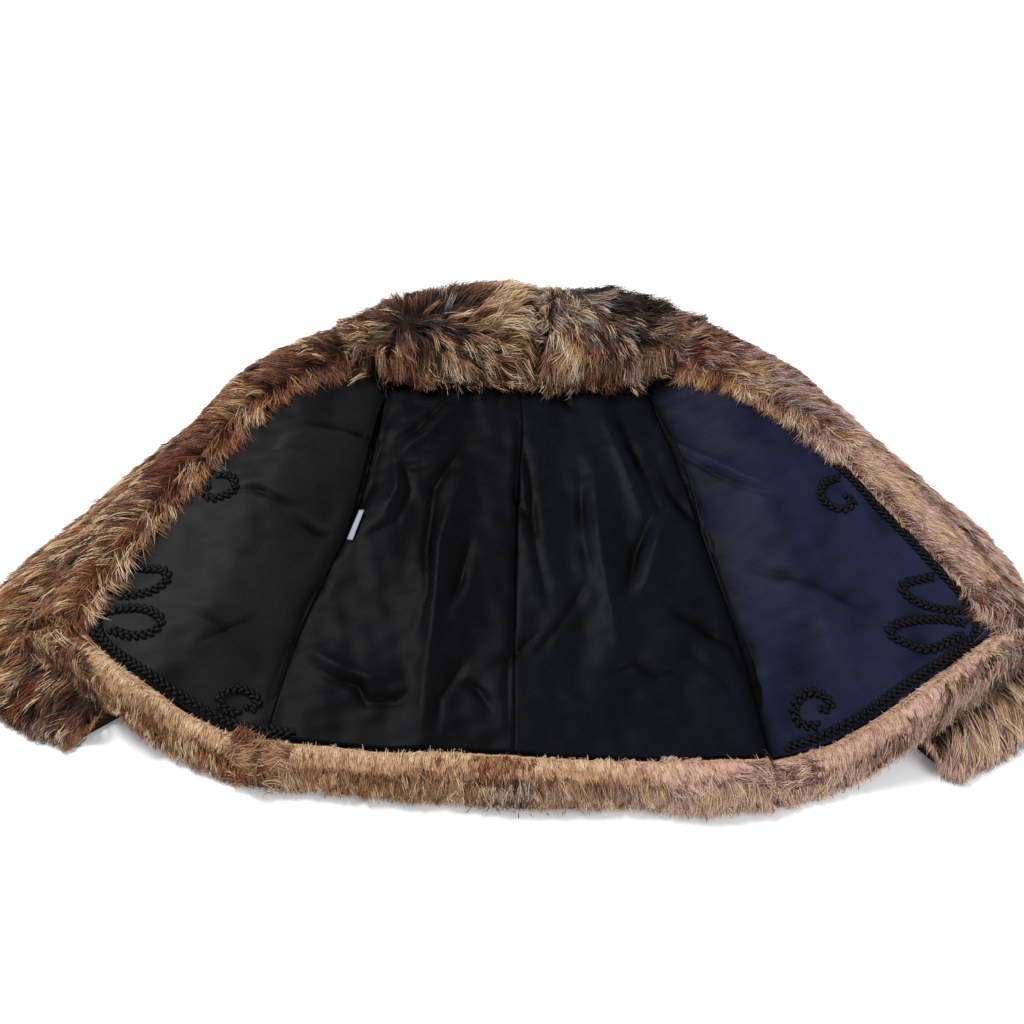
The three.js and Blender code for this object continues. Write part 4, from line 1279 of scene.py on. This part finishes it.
def grow_hem(node, seed):
    mesh = skins[node]
    plush, guard = HEM_HAIRS[node]
    grow(f"plush_{node}", "hem_fur", mesh, FUR["hem"], plush, density=150, per_lock=6, pile=2.2, width=0.75,
         spread=2.6, inner=1.5, wild=0.05, scale=0.42, keep=lambda p: from_edge("hem", p) < PLUSH["hem"],
         tones=hem_tones, shape=SHORT, shine=PLUSH["shine"], seed=seed)
    grow(f"hair_{node}", "hem_fur", mesh, FUR["hem"], guard, density=150, per_lock=7, pile=9, width=0.88,
         spread=3, inner=2, outer=5, wild=0.24, scale=1.15, keep=on_guard, tones=guard_tones,
         shine=GUARD_SHINE, seed=seed + 1)
    if node in TUFTS:
        grow(f"tufts_{node}", "hem_fur", mesh, TUFTS[node], 2000, density=95, pile=8, width=0.9, wild=0.34,
             inner=18, outer=6, keep=lambda p: near_tufts(node, p), seed=seed + 2)


def under_hem(places):
    """Places outside the lining's hem edge, where the shells' rims show under the turned hem."""
    edge = drawn(LINING_EDGE["hem"])
    return places[:, 1] < np.interp(places[:, 0], edge[:, 0], edge[:, 1]) - RIM_FROM * MM


def grow_rim(node):
    grow(f"rim_{node}", "shell_fur", skins[node], FUR["hem"], 1400, per_lock=7, pile=3, width=1.1,
         outer=5, scale=0.5, wild=0.2, keep=under_hem, shape=SHORT, seed=30)


def grow_facing(side):
    mesh = skins[f"facing_{side}"]
    guard = None if side == "left" else (lambda p: ~in_sheared_front(p))

    def at_lining(p):
        return (from_edge(side, p) < FRINGE_REACH) & ~in_sheared_front(p)

    neck, hem_end = FACING_ENDS[side]
    grow(f"hair_facing_{side}", "facing_fur", mesh, FUR[f"facing_{side}"], FACING_HAIRS[side],
         pile=11, width=0.9, outer=OUTER[side], keep=guard, seed=1,
         swell=lambda p: 1 + NECK_SWELL["more"] * near(neck, p, NECK_SWELL["reach"]))
    grow(f"drape_facing_{side}", "facing_fur", mesh, DRAPE[side], 2200, density=150, pile=9, inner=56,
         outer=16, wild=0.3, width=0.8, keep=lambda p: near(hem_end, p, DRAPE_REACH) > 0, seed=8)
    grow(f"fringe_facing_{side}", "facing_fur", mesh, FRINGE[side], 3800, density=120, pile=12, inner=52,
         wild=0.24, scale=1.3, width=0.8, keep=at_lining, seed=7)


def on_cuff(places):
    return np.abs(places[:, 0]) > SLEEVE_FROM


grow("crest_collar", "collar_fur", skins["collar_right"], CREST, 1400, density=160, pile=24, width=0.85,
     wild=0.22, outer=14, shape=RAISED, keep=lambda p: near(CREST[0][:2], p, CREST_REACH) > 0, seed=13)
for side in ("left", "right"):
    grow_facing(side)
    grow(f"hair_collar_{side}", "collar_fur", skins[f"collar_{side}"], FUR[f"collar_{side}"], 15000,
         density=64, pile=21, width=0.93, wild=0.2, inner=30, outer=15, shape=RAISED, tufted=1.8, seed=2)
    grow(f"drape_collar_{side}", "collar_fur", skins[f"collar_{side}"], COLLAR_ENDS[side], 2000, density=120,
         pile=15, inner=52, outer=22, wild=0.24, width=0.85,
         keep=lambda p: near(COLLAR_ENDS[side][0][:2], p, DRAPE_REACH) > 0, seed=9)
    grow_hem(f"hem_front_{side}", 10)
    grow(f"hair_sleeve_{side}", "shell_fur", skins[f"top_sleeve_{side}"], FUR["sleeves"], 7400,
         keep=on_cuff, seed=4)
    grow(f"hair_cuff_{side}", "shell_fur", skins[f"under_sleeve_{side}"], FUR["sleeves"], 3000, density=240,
         pile=5, scale=0.7, outer=14, keep=on_cuff, seed=5)
grow("plush_front", "facing_fur", skins["facing_right"], FUR["facing_right"], 7800, density=170, per_lock=6,
     pile=6, width=0.8, spread=3.4, inner=5, wild=0.16, scale=0.8, keep=in_sheared_front,
     tones=sheared_tones, shape=SHORT, shine=PLUSH["shine"], seed=6)
grow_hem("hem_back", 20)
for node in ("back_shell", "front_shell_left", "front_shell_right"):
    grow_rim(node)


# Braid

def leaf():
    """A pointed pad, one strand of the plait where it shows: points and faces, one unit long."""
    stations = [(-0.5, 0.0), (-0.36, 0.62), (-0.12, 1.0), (0.14, 0.96), (0.36, 0.6), (0.5, 0.0)]
    around = 8
    points = [(stations[0][0], 0, 0)]
    for x, r in stations[1:-1]:
        for k in range(around):
            a = 2 * math.pi * k / around
            points.append((x, 0.5 * r * math.cos(a), 0.5 * r * math.sin(a)))
    points.append((stations[-1][0], 0, 0))
    last, rings = len(points) - 1, len(stations) - 2
    faces = []
    for k in range(around):
        n = (k + 1) % around
        faces.append((0, 1 + n, 1 + k))
        for r in range(rings - 1):
            p, q = 1 + r * around, 1 + (r + 1) * around
            faces += [(p + k, p + n, q + n), (p + k, q + n, q + k)]
        faces.append((1 + (rings - 1) * around + k, 1 + (rings - 1) * around + n, last))
    return np.array(points, float), np.array(faces)


LEAF = leaf()


def plait(name, route, tree, node):
    """A flat plait along a plan route: two rows of slanted leaves that lie on the lining."""
    _, length = rounded(drawn(route), 2)
    count = max(8, int(2 * length / (BRAID["pitch"] * MM)))
    line, _ = rounded(drawn(route), 2 * count + 1)
    tangent, normal = directions(line)
    shape, faces = LEAF
    places, all_faces = [], []
    for k in range(count):
        side = 1 if k % 2 else -1
        p, t, n = line[2 * k + 1], tangent[2 * k + 1], normal[2 * k + 1]
        turn = math.radians(BRAID["slant"]) * side
        u = t * math.cos(turn) - n * math.sin(turn)
        v = np.array([-u[1], u[0]])
        local = shape * np.array([BRAID["leaf"], BRAID["wide"], BRAID["thick"]]) * MM
        plan = p + n * side * BRAID["reach"] * MM + local[:, :1] * u + local[:, 1:2] * v
        hit = tree.ray_cast(Vector((*p, 1.0)), Vector((0, 0, -1)))[0]
        base = (hit.z if hit is not None else relief.top(p[None])[0]) + 0.4 * BRAID["thick"] * MM
        places.append(np.column_stack([plan, base + local[:, 2] + 0.14 * local[:, 0]]))
        all_faces.append(faces + len(shape) * k)
    obj = make_triangles(name, np.vstack(places), np.vstack(all_faces))
    return finish_piece(obj, CORD, "braid", node)


def inset(route, side):
    """A route moved sideways, to the inside of the lining."""
    line, _ = rounded(np.asarray(route, float), 40)
    turn = 1 if side == "left" else -1
    return line + directions(line)[1] * BRAID["inset"] * turn


def edge_route(side):
    hem = LINING_EDGE["hem"] if side == "left" else LINING_EDGE["hem"][::-1]
    front = inset(LINING_EDGE[side], side)
    along_hem = inset(hem, side)
    return np.vstack([front[21:39:3], along_hem[1:13:3]])


for side in ("left", "right"):
    _, points, triangles = linings[f"lining_front_{side}"]
    tree = BVHTree.FromPolygons(points.tolist(), triangles.tolist())
    plait(f"plait_edge_{side}", edge_route(side), tree, f"braid_edge_{side}")
    for node, route in SCROLLS.items():
        if node.endswith(side):
            plait(node.replace("scroll", "plait"), route, tree, node)


# A strip of satin that lies over each armhole and side seam, painted wholly dark as painted shade of the
# slit there

ARMHOLE = {"rows": slice(1, 8), "half": 16, "steps": 44, "across": 8, "above": 2.6, "wall": 0.8}


def make_armhole_shade(side):
    line, _ = rounded(drawn(SEAM[side])[ARMHOLE["rows"]], ARMHOLE["steps"])
    normal = directions(line)[1]
    offsets = np.linspace(-ARMHOLE["half"], ARMHOLE["half"], ARMHOLE["across"] + 1) * MM
    plan = (line[:, None] + normal[:, None] * offsets[None, :, None]).reshape(-1, 2)
    top = np.column_stack([plan, pelts.top(plan) + ARMHOLE["above"] * MM])
    row = ARMHOLE["across"] + 1
    faces = []
    for j in range(ARMHOLE["steps"] - 1):
        for i in range(ARMHOLE["across"]):
            a, b, c, d = j * row + i, j * row + i + 1, (j + 1) * row + i + 1, (j + 1) * row + i
            faces += [(a, b, c), (a, c, d)]
    # Every point gets full painted shade, so the strip shows the near-black trough colour
    obj = make_shell(f"armhole_shade_{side}", top, np.array(faces), ARMHOLE["wall"], np.ones(len(top)))
    return finish_piece(obj, SATIN["back"], "lining_satin")


for side in ("left", "right"):
    make_armhole_shade(side)


# Blank tab at the left underarm

TAB = {"width": 0.5, "lift": 1.2, "curl": 1.5}


def make_tab():
    points, triangles = node_arrays("label", 3)
    middle = points.mean(0)
    spin = np.linalg.svd(points[:, :2] - middle[:2], full_matrices=False)[2]
    local = (points[:, :2] - middle[:2]) @ spin.T
    local[:, 1] *= TAB["width"]
    points[:, :2] = local @ spin + middle[:2]
    points[:, 2] += TAB["lift"] * MM + TAB["curl"] * MM * waves(points[:, 0], points[:, 1], 0.03, 9)
    obj = make_triangles("tab", points, triangles)
    finish_piece(obj, TAPE, "label_tape", "label")


make_tab()
